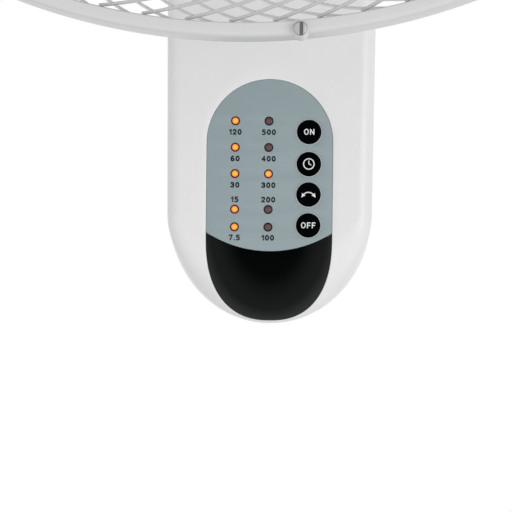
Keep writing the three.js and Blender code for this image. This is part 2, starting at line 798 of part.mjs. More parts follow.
function gearHousing() {
  const sleeveLow = gearPlane + gearThickness + clearance;
  const [near, far] = [-rearBellFace + clearance, -rearBellFace + 4];
  const sleeve = turnedUpright([
    [pinDiameter / 2 + clearance, sleeveLow], [sleeveRadius, sleeveLow],
    [sleeveRadius, 12], [pinDiameter / 2 + clearance, 12],
  ], 0, 0);
  const face = turned([
    [12, near], [32, near], [32, far], [12, far],
  ], 14);
  const low = gearPlane + gearThickness + 2 + swingMotorHeight + clearance;
  const shelf = block(-14, 14, -rearBellFace + 1, gearDistance + 12, low, low + 3);
  const bore = bar([0, 0, -40], [0, 0, 40], pinDiameter / 2 + clearance, 10);
  return cut(join(sleeve, face, shelf), bore);
}

function swingMotor() {
  const low = gearPlane + gearThickness + 2;
  const high = low + swingMotorHeight;
  const body = turnedUpright([
    [0, low], [swingMotorRadius, low], [swingMotorRadius, high], [0, high],
  ], 0, gearDistance);
  const shaft = bar([0, gearDistance, gearPlane], [0, gearDistance, low + 1], 1.5, 8);
  return join(body, shaft);
}

function frontBell() {
  return turned([
    [bushRadius + clearance, frontBellFace - noseLength], [noseRadius, frontBellFace - noseLength],
    [noseRadius, frontBellFace], [motorRadius - 6, frontBellFace], [motorRadius, frontBellFace + 8],
    [motorRadius, frontBellRear], [motorRadius - bellWall, frontBellRear],
    [motorRadius - bellWall, frontBellFace + 9], [motorRadius - bellWall - 3, frontBellFace + bellWall],
    [bushRadius + clearance, frontBellFace + bellWall],
  ], 16);
}

function rearBell() {
  const rear = -rearBellFace;
  const front = rear - rearBellLength;
  return turned([
    [5.6, rear], [motorRadius - 5, rear], [motorRadius, rear - 6], [motorRadius, front],
    [motorRadius - bellWall, front], [motorRadius - bellWall, rear - 7],
    [motorRadius - bellWall - 3, rear - 3.4],
    [bushRadius + 5, rear - 3.4], [bushRadius + 5, rear - 12], [bushRadius + clearance, rear - 12],
    [bushRadius + clearance, rear - 1.5], [5.6, rear - 1.5],
  ], 16);
}

function bush(yRear, length) {
  return turned([
    [shaftDiameter / 2 + clearance, yRear], [bushRadius, yRear],
    [bushRadius, yRear - length], [shaftDiameter / 2 + clearance, yRear - length],
  ], 12);
}

function stator() {
  const bore = rotorRadius + airGap;
  return turned([
    [bore, stackRear], [coilInner, stackRear], [coilInner, stackRear + coilRear],
    [coilOuter, stackRear + coilRear], [coilOuter, stackRear], [motorRadius, stackRear],
    [motorRadius, stackFront], [coilOuter, stackFront], [coilOuter, stackFront - coilFront],
    [coilInner, stackFront - coilFront], [coilInner, stackFront], [bore, stackFront],
  ], 16);
}

/** The motor cover's outer radius along the axis, from the guard to the tail. */
function coverProfile(inset) {
  const front = frontBellFace + 4;
  const tail = motorCoverRear - inset;
  const nose = [[motorCoverRadius - 3 - inset, front], [motorCoverRadius - inset, front + 26]];
  const waist = 6;
  const shares = inset > 0 ? [0, 0.62, 0.92, 1] : [0, 0.42, 0.72, 0.92, 1];
  const curve = shares.map((share) => [
    (motorCoverRadius - inset) * (1 - share ** 2.8 * 0.58) * (share < 1 ? 1 : 0.72),
    waist + (tail - waist) * share,
  ]);
  return [...nose, ...curve, [0, tail]];
}

function motorCover() {
  const outer = coverProfile(0);
  const inner = coverProfile(motorCoverWall).reverse();
  const shell = turned([...outer, ...inner], 20);
  const opening = bar([0, 0, -90], [0, 0, -30], collarRadius + 2, 16);
  const slots = [];
  for (const side of [-1, 1]) {
    for (let row = 0; row < 3; row += 1) {
      const y = ventFirst + row * ventPitch;
      const [near, far] = [side * (motorCoverRadius - 20), side * (motorCoverRadius + 20)];
      slots.push(block(near, far, y, y + ventWidth, -ventLength / 2, ventLength / 2));
    }
  }
  const screw = bar([0, 50, 0], [0, 80, 0], 2, 8);
  return cut(shell, opening, screw, ...slots);
}

function coverScrew() {
  const face = motorCoverRear + clearance;
  return turned([
    [0, face + 2.2], [2.6, face + 1.9], [3.6, face], [1.6, face], [1.6, face - 12], [0, face - 13],
  ].reverse(), 8);
}

// ---------------------------------------------------------------- guards
const hubPlateFace = frontBellFace - clearance;
const wireEnd = rimRadius - rimSize / 2 - 0.2;
const rimOffset = ringWidth / 2 - ringLipWall - clearance - rimSize / 2;

/** How far round a wire has turned at a radius, in radians. */
function swirl(radius) {
  const start = hubPlateRadius - 4;
  return swirlHub * Math.log(radius / start) + swirlRim * ((radius - start) / (wireEnd - start)) ** 2;
}

/** One guard: hub, rim and wires along a dished profile; two wires straddle the ring screw. */
function guard(from, bow, rimY, direction, hub, wireSteps) {
  const start = hubPlateRadius - hubPlate;
  const depth = rimY - from;
  const knots = [[0, 0], ...bow, [1, 1]].map(([share, fall]) => (
    new THREE.Vector2(start + share * (wireEnd - start), from + fall * depth)
  ));
  const curve = new THREE.SplineCurve(knots);
  const firstWire = Math.PI - rad(ringScrewAngle) + Math.PI / wireCount;
  const wires = [];
  for (let n = 0; n < wireCount; n += 1) {
    const rings = [];
    for (let step = 0; step <= wireSteps; step += 1) {
      const here = curve.getPoint(step / wireSteps);
      const turnAt = (r) => firstWire + (2 * Math.PI * n) / wireCount
        + direction * (swirl(r) - swirl(ringScrewRadius));
      const at = (p) => new THREE.Vector3(p.x * Math.sin(turnAt(p.x)), p.y, p.x * Math.cos(turnAt(p.x)));
      const ahead = at(curve.getPoint(Math.min(1, step / wireSteps + 0.02)));
      const behind = at(curve.getPoint(Math.max(0, step / wireSteps - 0.02)));
      const along = ahead.sub(behind).normalize();
      const side = new THREE.Vector3(0, 1, 0).cross(along).normalize();
      const over = side.clone().cross(along);
      rings.push([90, 210, 330].map((degrees) => at(here)
        .addScaledVector(side, wireRadius * Math.cos(rad(degrees)))
        .addScaledVector(over, wireRadius * Math.sin(rad(degrees)))));
    }
    wires.push(loft(rings));
  }
  const half = rimSize / 2;
  const rim = turned([
    [rimRadius - half, rimY - half], [rimRadius + half, rimY - half],
    [rimRadius + half, rimY + half], [rimRadius - half, rimY + half],
  ], ringSides);
  return join(rim, hub, ...wires);
}

function rearGuard() {
  const hub = turned([
    [noseRadius + clearance, hubPlateFace], [hubPlateRadius, hubPlateFace],
    [hubPlateRadius, hubPlateFace - hubPlate], [noseRadius + clearance, hubPlateFace - hubPlate],
  ], ringSides);
  return guard(hubPlateFace - hubPlate / 2, rearBow, -ringPlane + rimOffset, -1, hub, 3);
}

function frontGuard() {
  const front = -ringPlane - frontGuardDepth;
  const hub = turned([
    [hubPlateRadius - capSeat, front - hubPlate / 2], [hubPlateRadius, front - hubPlate / 2],
    [hubPlateRadius, front + hubPlate / 2], [hubPlateRadius - capSeat, front + hubPlate / 2],
  ], ringSides);
  return guard(front, frontBow, -ringPlane - rimOffset, 1, hub, 2);
}

function guardNut() {
  const face = hubPlateFace - hubPlate - clearance;
  const nut = turned([
    [noseRadius + clearance, face], [34, face], [34, face - 3], [30, face - 8],
    [noseRadius + clearance, face - 8],
  ], 16);
  const grips = Array.from({ length: 6 }, (_, i) => {
    const angle = rad(60 * i);
    const [x, z] = [32 * Math.cos(angle), 32 * Math.sin(angle)];
    return bar([x, face, z], [x, face - 6, z], 3.2, 6);
  });
  return join(nut, ...grips);
}

const screwAt = [
  ringScrewRadius * Math.sin(rad(ringScrewAngle)),
  -ringScrewRadius * Math.cos(rad(ringScrewAngle)),
];

/** The band that clips over both rims, with a small lug for its screw. */
function guardRing() {
  const half = ringWidth / 2;
  const inner = ringRadius - ringLip;
  const soft = 1.4;
  const [front, rear] = [-ringPlane - half, -ringPlane + half];
  const band = turned([
    [inner, front], [ringRadius - soft, front], [ringRadius, front + soft],
    [ringRadius, rear - soft], [ringRadius - soft, rear], [inner, rear],
  ], ringSides);
  const channel = turned([
    [inner - 5, front + ringLipWall], [ringRadius - ringWall, front + ringLipWall],
    [ringRadius - ringWall, rear - ringLipWall], [inner - 5, rear - ringLipWall],
  ], ringSides);
  const [x, z] = screwAt;
  const lug = bar([x, -ringPlane, z], [x, front - ringLugHeight, z], ringLugRadius, 12);
  const hole = bar([x, -ringPlane, z], [x, front - 5, z], ringScrewShank + 0.2, 8);
  return cut(join(band, lug), channel, hole);
}

function ringScrew() {
  const face = -ringPlane - ringWidth / 2 - ringLugHeight - clearance;
  const [x, z] = screwAt;
  const body = turned([
    [0, face + ringScrewLength], [ringScrewShank, face + ringScrewLength - 1], [ringScrewShank, face],
    [ringScrewHead, face], [ringScrewHead, face - 0.9], [ringScrewHead - 0.7, face - 1.5], [0, face - 1.7],
  ], 10);
  return body.translate([x, 0, z]);
}

function centreCap() {
  const rear = -ringPlane - frontGuardDepth - hubPlate / 2 - clearance;
  const spigot = hubPlateRadius - capSeat - clearance;
  return turned([
    [spigot, rear + 5], [spigot, rear], [hubPlateRadius, rear], [hubPlateRadius - 1, rear - 3],
    [hubPlateRadius - 12, rear - 5.5], [0, rear - 7.5], [0, rear - 5],
    [spigot - 2.4, rear - 2.6], [spigot - 2.4, rear + 5],
  ], 20);
}

// ---------------------------------------------------------------- rotor and impeller
function rotor() {
  const radius = shaftDiameter / 2;
  const tip = -impellerPlane - hubLength / 2 - shaftBeyondHub;
  const tail = -rearBellFace - 4;
  return turned([
    [0, tip], [radius - 1, tip], [radius, tip + 1], [radius, stackFront + 1], [rotorRadius, stackFront + 1],
    [rotorRadius, stackRear - 1], [radius, stackRear - 1], [radius, tail], [0, tail],
  ], 14);
}

/** One twisted blade, wide at the tip, from the hub to the tip circle. */
function blade(turn) {
  const stations = 4;
  const chordPoints = 3;
  const rings = [];
  for (let s = 0; s <= stations; s += 1) {
    const part = s / stations;
    const r = THREE.MathUtils.lerp(hubRadius - 0.65 * hubWall, bladeRadius, part);
    const pitch = rad(THREE.MathUtils.lerp(38, 17, Math.sqrt(part)));
    const rounded = Math.sqrt(Math.max(0.04, 1 - Math.max(0, (part - 0.72) / 0.28) ** 2.4));
    const fullChord = THREE.MathUtils.lerp(bladeRootChord, bladeTipChord, part ** 0.8);
    const chord = fullChord * THREE.MathUtils.lerp(0.55, 1, rounded);
    const lean = rad(26) * part ** 1.4;
    const ring = [];
    for (const face of [1, -1]) {
      for (let c = 0; c <= chordPoints; c += 1) {
        const u = (face > 0 ? c : chordPoints - c) / chordPoints - 0.5;
        const camber = 0.07 * chord * (1 - 4 * u * u);
        const across = u * chord * Math.cos(pitch) + camber * Math.sin(pitch);
        const rise = u * chord * Math.sin(pitch) - camber * Math.cos(pitch);
        const angle = turn + lean + across / Math.max(r, bladeWrapRadius);
        const half = face * (bladeThickness / 2) * (Math.abs(u) > 0.49 ? 0.45 : 1);
        const y = -impellerPlane + rise + half;
        ring.push(new THREE.Vector3(r * Math.cos(angle), y, r * Math.sin(angle)));
      }
    }
    rings.push(ring);
  }
  return loft(rings, true);
}

function impeller() {
  const rear = -impellerPlane + hubLength / 2;
  const front = rear - hubLength;
  const bore = shaftDiameter / 2 + clearance;
  const inner = hubRadius - hubWall;
  const cup = turned([
    [inner, rear], [hubRadius, rear], [hubRadius, front + 8], [hubRadius - 7, front],
    [bore, front], [bore, rear - 6], [8, rear - 6], [8, front + 3], [inner - 6, front + 3],
    [inner, front + 9],
  ], 16);
  const blades = Array.from({ length: bladeCount }, (_, i) => blade((2 * Math.PI * i) / bladeCount));
  return join(cup, ...blades);
}

function spinnerNut() {
  const face = -impellerPlane - hubLength / 2 - clearance;
  const bore = shaftDiameter / 2 + clearance;
  const body = turned([
    [bore, face], [17, face], [17, face - 3], [12, face - 6], [9.5, face - 15], [7, face - 19],
    [0, face - 20], [0, face - 17], [bore, face - 17],
  ], 14);
  const grips = [0, 1, 2].map((i) => {
    const angle = rad(120 * i + 90);
    const [x, z] = [12 * Math.cos(angle), 12 * Math.sin(angle)];
    return bar([x, face - 1, z], [x, face - 12, z], 3, 6);
  });
  return join(body, ...grips.map((grip) => cut(grip, bar([0, face, 0], [0, face - 17, 0], bore, 10))));
}

// ---------------------------------------------------------------- assembly
add(housing, 'wall_bracket', steel, wallBracket());
add(housing, 'rear_cover', white, rearCover());
add(housing, 'front_cover', white, frontCover());
add(housing, 'fascia_panel', fasciaGrey, fasciaPanel());
add(housing, 'remote_lens', lensBlack, remoteLens());
add(housing, 'control_board', boardGreen, controlBoard());
add(housing, 'remote_receiver', darkPlastic, remoteReceiver());
add(housing, 'power_board', boardGreen, powerBoard());
add(housing, 'motor_capacitor', darkPlastic, motorCapacitor());
add(housing, 'cord_inlet', darkPlastic, cordInlet());

const lit = [[true, true, true, true, true], [false, false, true, false, false]];
ledColumns.forEach((x, column) => ledHeights.forEach((z, row) => {
  const side = column === 0 ? 'left' : 'right';
  const material = lit[column][row] ? amberLit : amberDark;
  add(housing, `led_${side}_${row + 1}`, material, indicator(x, z));
}));

const keyNames = ['power_key', 'timer_key', 'swing_key', 'off_key'];
keyNames.forEach((name, row) => add(housing, name, keyBlack, pushKey(keyHeights[row])));

screwPosts.forEach(([x, z], i) => add(housing, `housing_screw_${i + 1}`, steel, housingScrew(x, z)));
neckScrews.forEach(([x, z], i) => add(housing, `neck_screw_${i + 1}`, steel, neckScrew(x, z)));

add(housing, 'neck_base', castAlloy, neckBase());
add(housing, 'tilt_bolt', steel, tiltBolt());
add(housing, 'tilt_nut', steel, tiltNut());

add(neckGroup, 'neck', white, neck());
add(neckGroup, 'pivot_pin', steel, pivotPin());
add(neckGroup, 'sector_gear', brass, sectorGear());

add(headGroup, 'gear_housing', castAlloy, gearHousing());
add(headGroup, 'swing_motor', steel, swingMotor());
add(headGroup, 'swing_pinion', brass, swingPinion());
add(headGroup, 'rear_bell', castAlloy, rearBell());
add(headGroup, 'front_bell', castAlloy, frontBell());
add(headGroup, 'stator', copper, stator());
add(headGroup, 'rear_bush', brass, bush(-rearBellFace - 2, 9));
add(headGroup, 'front_bush', brass, bush(noseTip + noseLength, noseLength - 3));
add(headGroup, 'motor_cover', white, motorCover());
add(headGroup, 'cover_screw', steel, coverScrew());
add(headGroup, 'rear_guard', guardWhite, rearGuard());
add(headGroup, 'guard_nut', white, guardNut());
add(headGroup, 'front_guard', guardWhite, frontGuard());
add(headGroup, 'guard_ring', guardWhite, guardRing());
add(headGroup, 'ring_screw', steel, ringScrew());
add(headGroup, 'centre_cap', white, centreCap());
add(headGroup, 'rotor', steel, rotor());
add(headGroup, 'impeller', bladeWhite, impeller());
add(headGroup, 'spinner_nut', white, spinnerNut());

export default fan;
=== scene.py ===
# Looks of the wall mounted fan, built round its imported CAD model.
# Lengths are millimetres in the CAD's own groups (housing, neck, head) until they
# are placed, and metres in Blender.
import json
import math

import bmesh
import bpy
import numpy as np
from mathutils import Matrix, Vector


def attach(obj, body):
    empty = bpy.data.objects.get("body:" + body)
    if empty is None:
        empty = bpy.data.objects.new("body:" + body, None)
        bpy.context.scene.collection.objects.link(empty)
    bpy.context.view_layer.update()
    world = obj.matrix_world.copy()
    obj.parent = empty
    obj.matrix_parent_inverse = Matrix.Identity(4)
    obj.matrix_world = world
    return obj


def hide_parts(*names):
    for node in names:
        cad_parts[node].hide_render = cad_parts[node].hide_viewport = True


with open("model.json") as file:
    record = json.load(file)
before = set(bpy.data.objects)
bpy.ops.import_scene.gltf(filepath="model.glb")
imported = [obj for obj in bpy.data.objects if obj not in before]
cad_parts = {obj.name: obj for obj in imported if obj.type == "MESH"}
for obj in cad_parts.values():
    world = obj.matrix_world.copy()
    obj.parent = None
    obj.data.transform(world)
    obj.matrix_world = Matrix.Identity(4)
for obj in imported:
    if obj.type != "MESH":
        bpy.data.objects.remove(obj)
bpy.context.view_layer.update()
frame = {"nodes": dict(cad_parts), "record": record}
nodes = frame["nodes"]
record = frame["record"]
MM = 0.001
RAD = math.radians


# ---------------------------------------------------------------- places
def shift(x, y, z):
    return Matrix.Translation((x * MM, y * MM, z * MM))


PIN_Y = -64.5                                          # the pivot pin, seen from the tilt bolt
HOUSING = shift(0, 0, -130)
NECK = shift(0, -52, 109) @ Matrix.Rotation(RAD(-3), 4, "X")
HEAD = NECK @ shift(0, PIN_Y, 76) @ Matrix.Rotation(RAD(-1.3), 4, "Z")


# ---------------------------------------------------------------- materials
def noise(tree, coords, scale, detail=3.0):
    node = tree.nodes.new("ShaderNodeTexNoise")
    node.inputs["Scale"].default_value = scale
    node.inputs["Detail"].default_value = detail
    tree.links.new(coords, node.inputs["Vector"])
    return node.outputs["Fac"]


def remap(tree, value, low, high):
    node = tree.nodes.new("ShaderNodeMapRange")
    node.inputs["From Min"].default_value = 0.25
    node.inputs["From Max"].default_value = 0.75
    node.inputs["To Min"].default_value = low
    node.inputs["To Max"].default_value = high
    tree.links.new(value, node.inputs["Value"])
    return node.outputs["Result"]


def tint(tree, value, dark, light):
    node = tree.nodes.new("ShaderNodeMix")
    node.data_type = "RGBA"
    node.inputs["A"].default_value = (*dark, 1)
    node.inputs["B"].default_value = (*light, 1)
    tree.links.new(value, node.inputs["Factor"])
    return node.outputs["Result"]


def vector_step(tree, operation, value, other=None):
    """One step of vector arithmetic, with a fixed second vector where it needs one."""
    node = tree.nodes.new("ShaderNodeVectorMath")
    node.operation = operation
    tree.links.new(value, node.inputs[0])
    if other:
        node.inputs[1].default_value = other
    return node.outputs["Value" if operation == "LENGTH" else "Vector"]


def ramp(tree, value, stops, easing="LINEAR"):
    """Colours along a value, from a list of (place, colour)."""
    node = tree.nodes.new("ShaderNodeValToRGB")
    node.color_ramp.interpolation = easing
    for element, (place, color) in zip(node.color_ramp.elements, (stops[0], stops[-1])):
        element.position = place
        element.color = (*color, 1)
    for place, color in stops[1:-1]:
        node.color_ramp.elements.new(place).color = (*color, 1)
    tree.links.new(value, node.inputs["Fac"])
    return node.outputs["Color"]


def surface(name, color, rough, metal=0.0, coat=0.0, spread=0.03, mottle=60.0,
            grain=1600.0, bump=0.04, stretch=None, specular=None):
    """A procedural surface: slow colour and gloss changes under a fine moulded grain."""
    mat = bpy.data.materials.new(name)
    mat.use_nodes = True
    tree = mat.node_tree
    shader = tree.nodes["Principled BSDF"]
    coords = tree.nodes.new("ShaderNodeTexCoord").outputs["Object"]
    fine = coords
    if stretch:
        mapping = tree.nodes.new("ShaderNodeMapping")
        mapping.inputs["Scale"].default_value = stretch
        tree.links.new(coords, mapping.inputs["Vector"])
        fine = mapping.outputs["Vector"]
    slow = noise(tree, coords, mottle)
    quick = noise(tree, fine, grain, 4.0)
    dark = [c * (1 - spread) for c in color]
    light = [min(1.0, c * (1 + spread)) for c in color]
    tree.links.new(tint(tree, remap(tree, slow, 0, 1), dark, light), shader.inputs["Base Color"])
    tree.links.new(remap(tree, quick, rough * 0.9, min(1.0, rough * 1.12)), shader.inputs["Roughness"])
    shader.inputs["Metallic"].default_value = metal
    shader.inputs["Coat Weight"].default_value = coat
    shader.inputs["Coat Roughness"].default_value = 0.06
    if specular is not None:
        shader.inputs["Specular IOR Level"].default_value = specular
    relief = tree.nodes.new("ShaderNodeBump")
    relief.inputs["Strength"].default_value = bump
    relief.inputs["Distance"].default_value = 0.0002
    tree.links.new(quick, relief.inputs["Height"])
    tree.links.new(relief.outputs["Normal"], shader.inputs["Normal"])
    return mat


def indicator_surface(name, stops, glow):
    """A small lamp seen end on: colour runs from its centre to its rim, and the near black at the rim is
    painted shade of the hole round it.
    """
    mat = surface(name, (0.5, 0.5, 0.5), 0.2)
    tree = mat.node_tree
    shader = tree.nodes["Principled BSDF"]
    coords = tree.nodes.new("ShaderNodeTexCoord").outputs["Generated"]
    centred = vector_step(tree, "SUBTRACT", coords, (0.5, 0.5, 0.5))
    end_on = vector_step(tree, "MULTIPLY", centred, (1, 0, 1))
    color = ramp(tree, vector_step(tree, "LENGTH", end_on), stops)
    tree.links.new(color, shader.inputs["Base Color"])
    if glow:
        tree.links.new(color, shader.inputs["Emission Color"])
        shader.inputs["Emission Strength"].default_value = glow
    return mat


def lens_surface():
    """Black acrylic with a painted reflection: it greys softly towards its sides and its lower end."""
    mat = surface("lens_acrylic", (0.0005, 0.0008, 0.0008), 0.18, spread=0.2, mottle=30, grain=300,
                  bump=0.004, specular=0.015)
    tree = mat.node_tree
    shader = tree.nodes["Principled BSDF"]
    fit = tree.nodes.new("ShaderNodeMapping")          # an oval round the black middle, in metres
    fit.vector_type = "TEXTURE"
    fit.inputs["Location"].default_value = (0, 0, -0.0865)
    fit.inputs["Scale"].default_value = (0.0335, 10, 0.044)
    tree.links.new(tree.nodes.new("ShaderNodeTexCoord").outputs["Object"], fit.inputs["Vector"])
    reach = vector_step(tree, "LENGTH", fit.outputs["Vector"])
    # Painted reflection: the grey added towards the sides and the lower end stands for light caught where the
    # lens curves.
    grey = ramp(tree, reach, [
        (0.42, (0, 0, 0)), (0.80, (0.0095, 0.0100, 0.0102)), (0.99, (0.0300, 0.0310, 0.0312)),
    ], "EASE")
    total = tree.nodes.new("ShaderNodeMix")
    total.data_type = "RGBA"
    total.blend_type = "ADD"
    total.inputs["Factor"].default_value = 1.0
    tree.links.new(shader.inputs["Base Color"].links[0].from_socket, total.inputs["A"])
    tree.links.new(grey, total.inputs["B"])
    tree.links.new(total.outputs["Result"], shader.inputs["Base Color"])
    return mat


def coating(name, level, rough):
    """The coated steel of the guard, at a level of grey."""
    return surface(name, (level, level, level), rough, spread=0.015, grain=900, bump=0.05)


WHITE = surface("white_moulding", (0.80, 0.80, 0.80), 0.3, spread=0.012, bump=0.03)
GUARD = coating("guard_coating", 0.645, 0.34)
# The wires are the guard's one coating at other greys: darker at the front as painted shade, lighter at the
# rear as painted light.
FRONT_WIRE_PAINTED_SHADE = coating("front_wire_coating_painted_shade", 0.575, 0.4)
REAR_WIRE_PAINTED_LIGHT = coating("rear_wire_coating_painted_light", 0.76, 0.4)
# Painted shade: the grey of the dark block in the ring screw's slot.
PAINTED_SLOT_SHADE = surface("slot_shade", (0.13, 0.13, 0.13), 0.6, spread=0.1)
FASCIA = surface("fascia_film", (0.288, 0.354, 0.374), 0.42, spread=0.02, grain=2600, bump=0.06)
LENS = lens_surface()
KEY = surface("key_acrylic", (0.0005, 0.0008, 0.0010), 0.12, spread=0.2, grain=900,
              bump=0.01, specular=0.012)
# Lighter than the fascia: a painted highlight, the light rim round each key.
KEY_RIM = surface("key_surround", (0.50, 0.545, 0.56), 0.3, spread=0.03, grain=1200, bump=0.02)
INK = surface("panel_ink", (0.012, 0.022, 0.028), 0.5, spread=0.1)
KEY_INK = surface("key_ink", (0.78, 0.79, 0.8), 0.45)
BOARD = surface("board_lacquer", (0.02, 0.13, 0.05), 0.35, spread=0.2, mottle=400)
DARK = surface("dark_moulding", (0.025, 0.026, 0.028), 0.45, spread=0.15)
STEEL = surface("plated_steel", (0.58, 0.59, 0.6), 0.28, metal=1.0, spread=0.06, grain=500,
                bump=0.08, stretch=(1, 1, 6))
DULL_STEEL = surface("dull_steel", (0.46, 0.46, 0.46), 0.36, metal=0.9, spread=0.05, grain=900, bump=0.05)
ALLOY = surface("cast_alloy", (0.5, 0.51, 0.52), 0.46, metal=1.0, spread=0.08, grain=420, bump=0.5)
COPPER = surface("copper_winding", (0.62, 0.27, 0.13), 0.34, metal=1.0, spread=0.15, grain=900,
                 bump=0.4, stretch=(1, 8, 1))
BRASS = surface("machined_brass", (0.62, 0.44, 0.19), 0.3, metal=1.0, spread=0.05, grain=900, bump=0.1)
BLADE = surface("blade_moulding", (0.70, 0.73, 0.76), 0.25, spread=0.015, bump=0.02)
# Both ramps end near black at the rim: painted shade of the gap between lamp and fascia hole.
LAMP_ON = indicator_surface("lamp_on", [
    (0.0, (0.76, 0.40, 0.045)), (0.22, (0.74, 0.31, 0.032)), (0.34, (0.62, 0.13, 0.018)),
    (0.385, (0.20, 0.010, 0.005)), (0.43, (0.008, 0.002, 0.002)),
], 0.56)
LAMP_OFF = indicator_surface("lamp_off", [
    (0.0, (0.15, 0.055, 0.070)), (0.30, (0.10, 0.034, 0.042)), (0.36, (0.004, 0.003, 0.003)),
], 0)
SLOTS = {
    "white_plastic": WHITE, "guard_white": GUARD, "fascia_grey": FASCIA, "black_lens": LENS,
    "black_key": KEY, "circuit_board": BOARD, "dark_plastic": DARK, "led_amber": LAMP_ON,
    "led_unlit": LAMP_OFF, "steel": STEEL, "cast_alloy": ALLOY, "copper_winding": COPPER,
    "brass": BRASS, "blade_white": BLADE,
}


# ---------------------------------------------------------------- mesh helpers
SAME_POINT = 2e-6                                      # metres


def add_object(name, data):
    obj = bpy.data.objects.new(name, data)
    bpy.context.scene.collection.objects.link(obj)
    return obj


def dress(obj, material, body, replaces=(), slot=None, angle=35, width=0.0):
    """Smooths a finished mesh, gives it its surface and hangs it on its body."""
    mesh = obj.data
    work = bmesh.new()
    work.from_mesh(mesh)
    bmesh.ops.remove_doubles(work, verts=work.verts, dist=SAME_POINT)
    bmesh.ops.dissolve_degenerate(work, edges=work.edges, dist=1e-7)
    bmesh.ops.recalc_face_normals(work, faces=work.faces)
    work.to_mesh(mesh)
    work.free()
    if width:
        soften = obj.modifiers.new("edges", "BEVEL")
        soften.width = width * MM
        soften.segments = 2
        soften.limit_method = "ANGLE"
        soften.angle_limit = RAD(40)
        apply_modifiers(obj)
        mesh = obj.data
    mesh.shade_smooth()
    mesh.set_sharp_from_angle(angle=RAD(angle))
    mesh.materials.clear()
    mesh.materials.append(material)
    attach(obj, body)
    if replaces:
        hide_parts(*replaces)
    return obj


def raw(name, points, faces, place):
    mesh = bpy.data.meshes.new(name)
    mesh.from_pydata(placed(points, place), [], faces)
    return add_object(name, mesh)


def apply_modifiers(obj):
    graph = bpy.context.evaluated_depsgraph_get()
    old = obj.data
    obj.data = bpy.data.meshes.new_from_object(obj.evaluated_get(graph))
    obj.modifiers.clear()
    bpy.data.meshes.remove(old)


def carve(obj, cutters, mode="DIFFERENCE"):
    """Cuts shapes, given as (points, faces) in metres, out of a mesh."""
    points, faces = [], []
    for own_points, own_faces in cutters:
        start = len(points)
        points += own_points
        faces += [[start + i for i in face] for face in own_faces]
    tool = raw("tool", [], [], Matrix())
    tool.data.from_pydata(points, [], faces)
    work = bmesh.new()
    for mesh in (tool.data, obj.data):
        work.from_mesh(mesh)
        bmesh.ops.remove_doubles(work, verts=work.verts, dist=SAME_POINT)
        bmesh.ops.recalc_face_normals(work, faces=work.faces)
        work.to_mesh(mesh)
        work.clear()
    work.free()
    change = obj.modifiers.new("carve", "BOOLEAN")
    change.operation = mode
    change.solver = "EXACT"
    change.use_self = True
    change.object = tool
    apply_modifiers(obj)
    bpy.data.objects.remove(tool)


def placed(points, place):
    return [tuple(place @ (Vector(p) * MM)) for p in points]


def circle(x, z, radius, steps=48):
    turns = [2 * math.pi * i / steps for i in range(steps)]
    return [(x + radius * math.cos(a), z + radius * math.sin(a)) for a in turns]


def box_points(x0, x1, y0, y1, z0, z1):
    points = [(x, y, z) for x in (x0, x1) for y in (y0, y1) for z in (z0, z1)]
    return points, [[0, 1, 3, 2], [4, 6, 7, 5], [0, 4, 5, 1], [2, 3, 7, 6], [0, 2, 6, 4], [1, 5, 7, 3]]


def box_tool(x0, x1, y0, y1, z0, z1, place=HOUSING):
    points, faces = box_points(x0, x1, y0, y1, z0, z1)
    return placed(points, place), faces


def rod_tool(x, z, y0, y1, radius, place=HOUSING, sides=32):
    """A round tool along Y."""
    points = [(a, y, b) for y in (y0, y1) for a, b in circle(x, z, radius, sides)]
    faces = []
    for i in range(sides):
        j = (i + 1) % sides
        faces.append([i, j, sides + j, sides + i])
    faces += [list(range(sides)), list(range(2 * sides - 1, sides - 1, -1))]
    return placed(points, place), faces


def grid_faces(rows, cols, rows_closed=False, cols_closed=True):
    faces = []
    for r in range(rows if rows_closed else rows - 1):
        s = (r + 1) % rows
        for c in range(cols if cols_closed else cols - 1):
            d = (c + 1) % cols
            faces.append([r * cols + c, r * cols + d, s * cols + d, s * cols + c])
    return faces


def fillet(profile, radius, steps=4):
    """Rounds the corners of a closed profile, except where it meets the axis."""
    out = []
    count = len(profile)
    for i, here in enumerate(profile):
        here = Vector(here[:2])
        size = profile[i][2] if len(profile[i]) > 2 else radius
        before = Vector(profile[i - 1][:2]) - here
        after = Vector(profile[(i + 1) % count][:2]) - here
        if here.x < 1e-6 or size <= 0 or before.length < 1e-6 or after.length < 1e-6:
            out.append(tuple(here))
            continue
        half = before.angle(after) / 2
        reach = min(size / max(math.tan(half), 0.05), before.length * 0.45, after.length * 0.45)
        start = here + before.normalized() * reach
        end = here + after.normalized() * reach
        for s in range(steps + 1):
            t = s / steps
            out.append(tuple(start * (1 - t) ** 2 + here * 2 * t * (1 - t) + end * t ** 2))
    return out


def turned_mesh(profile, sides):
    """Points and faces of a closed profile [radius, y] turned about the Y axis."""
    points = []
    for i in range(sides):
        angle = 2 * math.pi * i / sides
        points += [(r * math.sin(angle), y, r * math.cos(angle)) for r, y in profile]
    return points, grid_faces(sides, len(profile), rows_closed=True)


def turned_tool(profile, sides, place, axis="Y", at=(0, 0, 0)):
    """A turned shape as a tool, with its axis along X, Y or Z through a point."""
    order = {"X": (1, 2, 0), "Y": (0, 1, 2), "Z": (0, 2, 1)}[axis]
    points, faces = turned_mesh(profile, sides)
    points = [[p[k] + move for k, move in zip(order, at)] for p in points]
    return placed(points, place), faces


def turned(name, profile, material, body, place, radius=0.5, sides=96, at=(0, 0), **more):
    points, faces = turned_mesh(fillet(profile, radius), sides)
    points = [(x + at[0], y, z + at[1]) for x, y, z in points]
    return dress(raw(name, points, faces, place), material, body, **more)


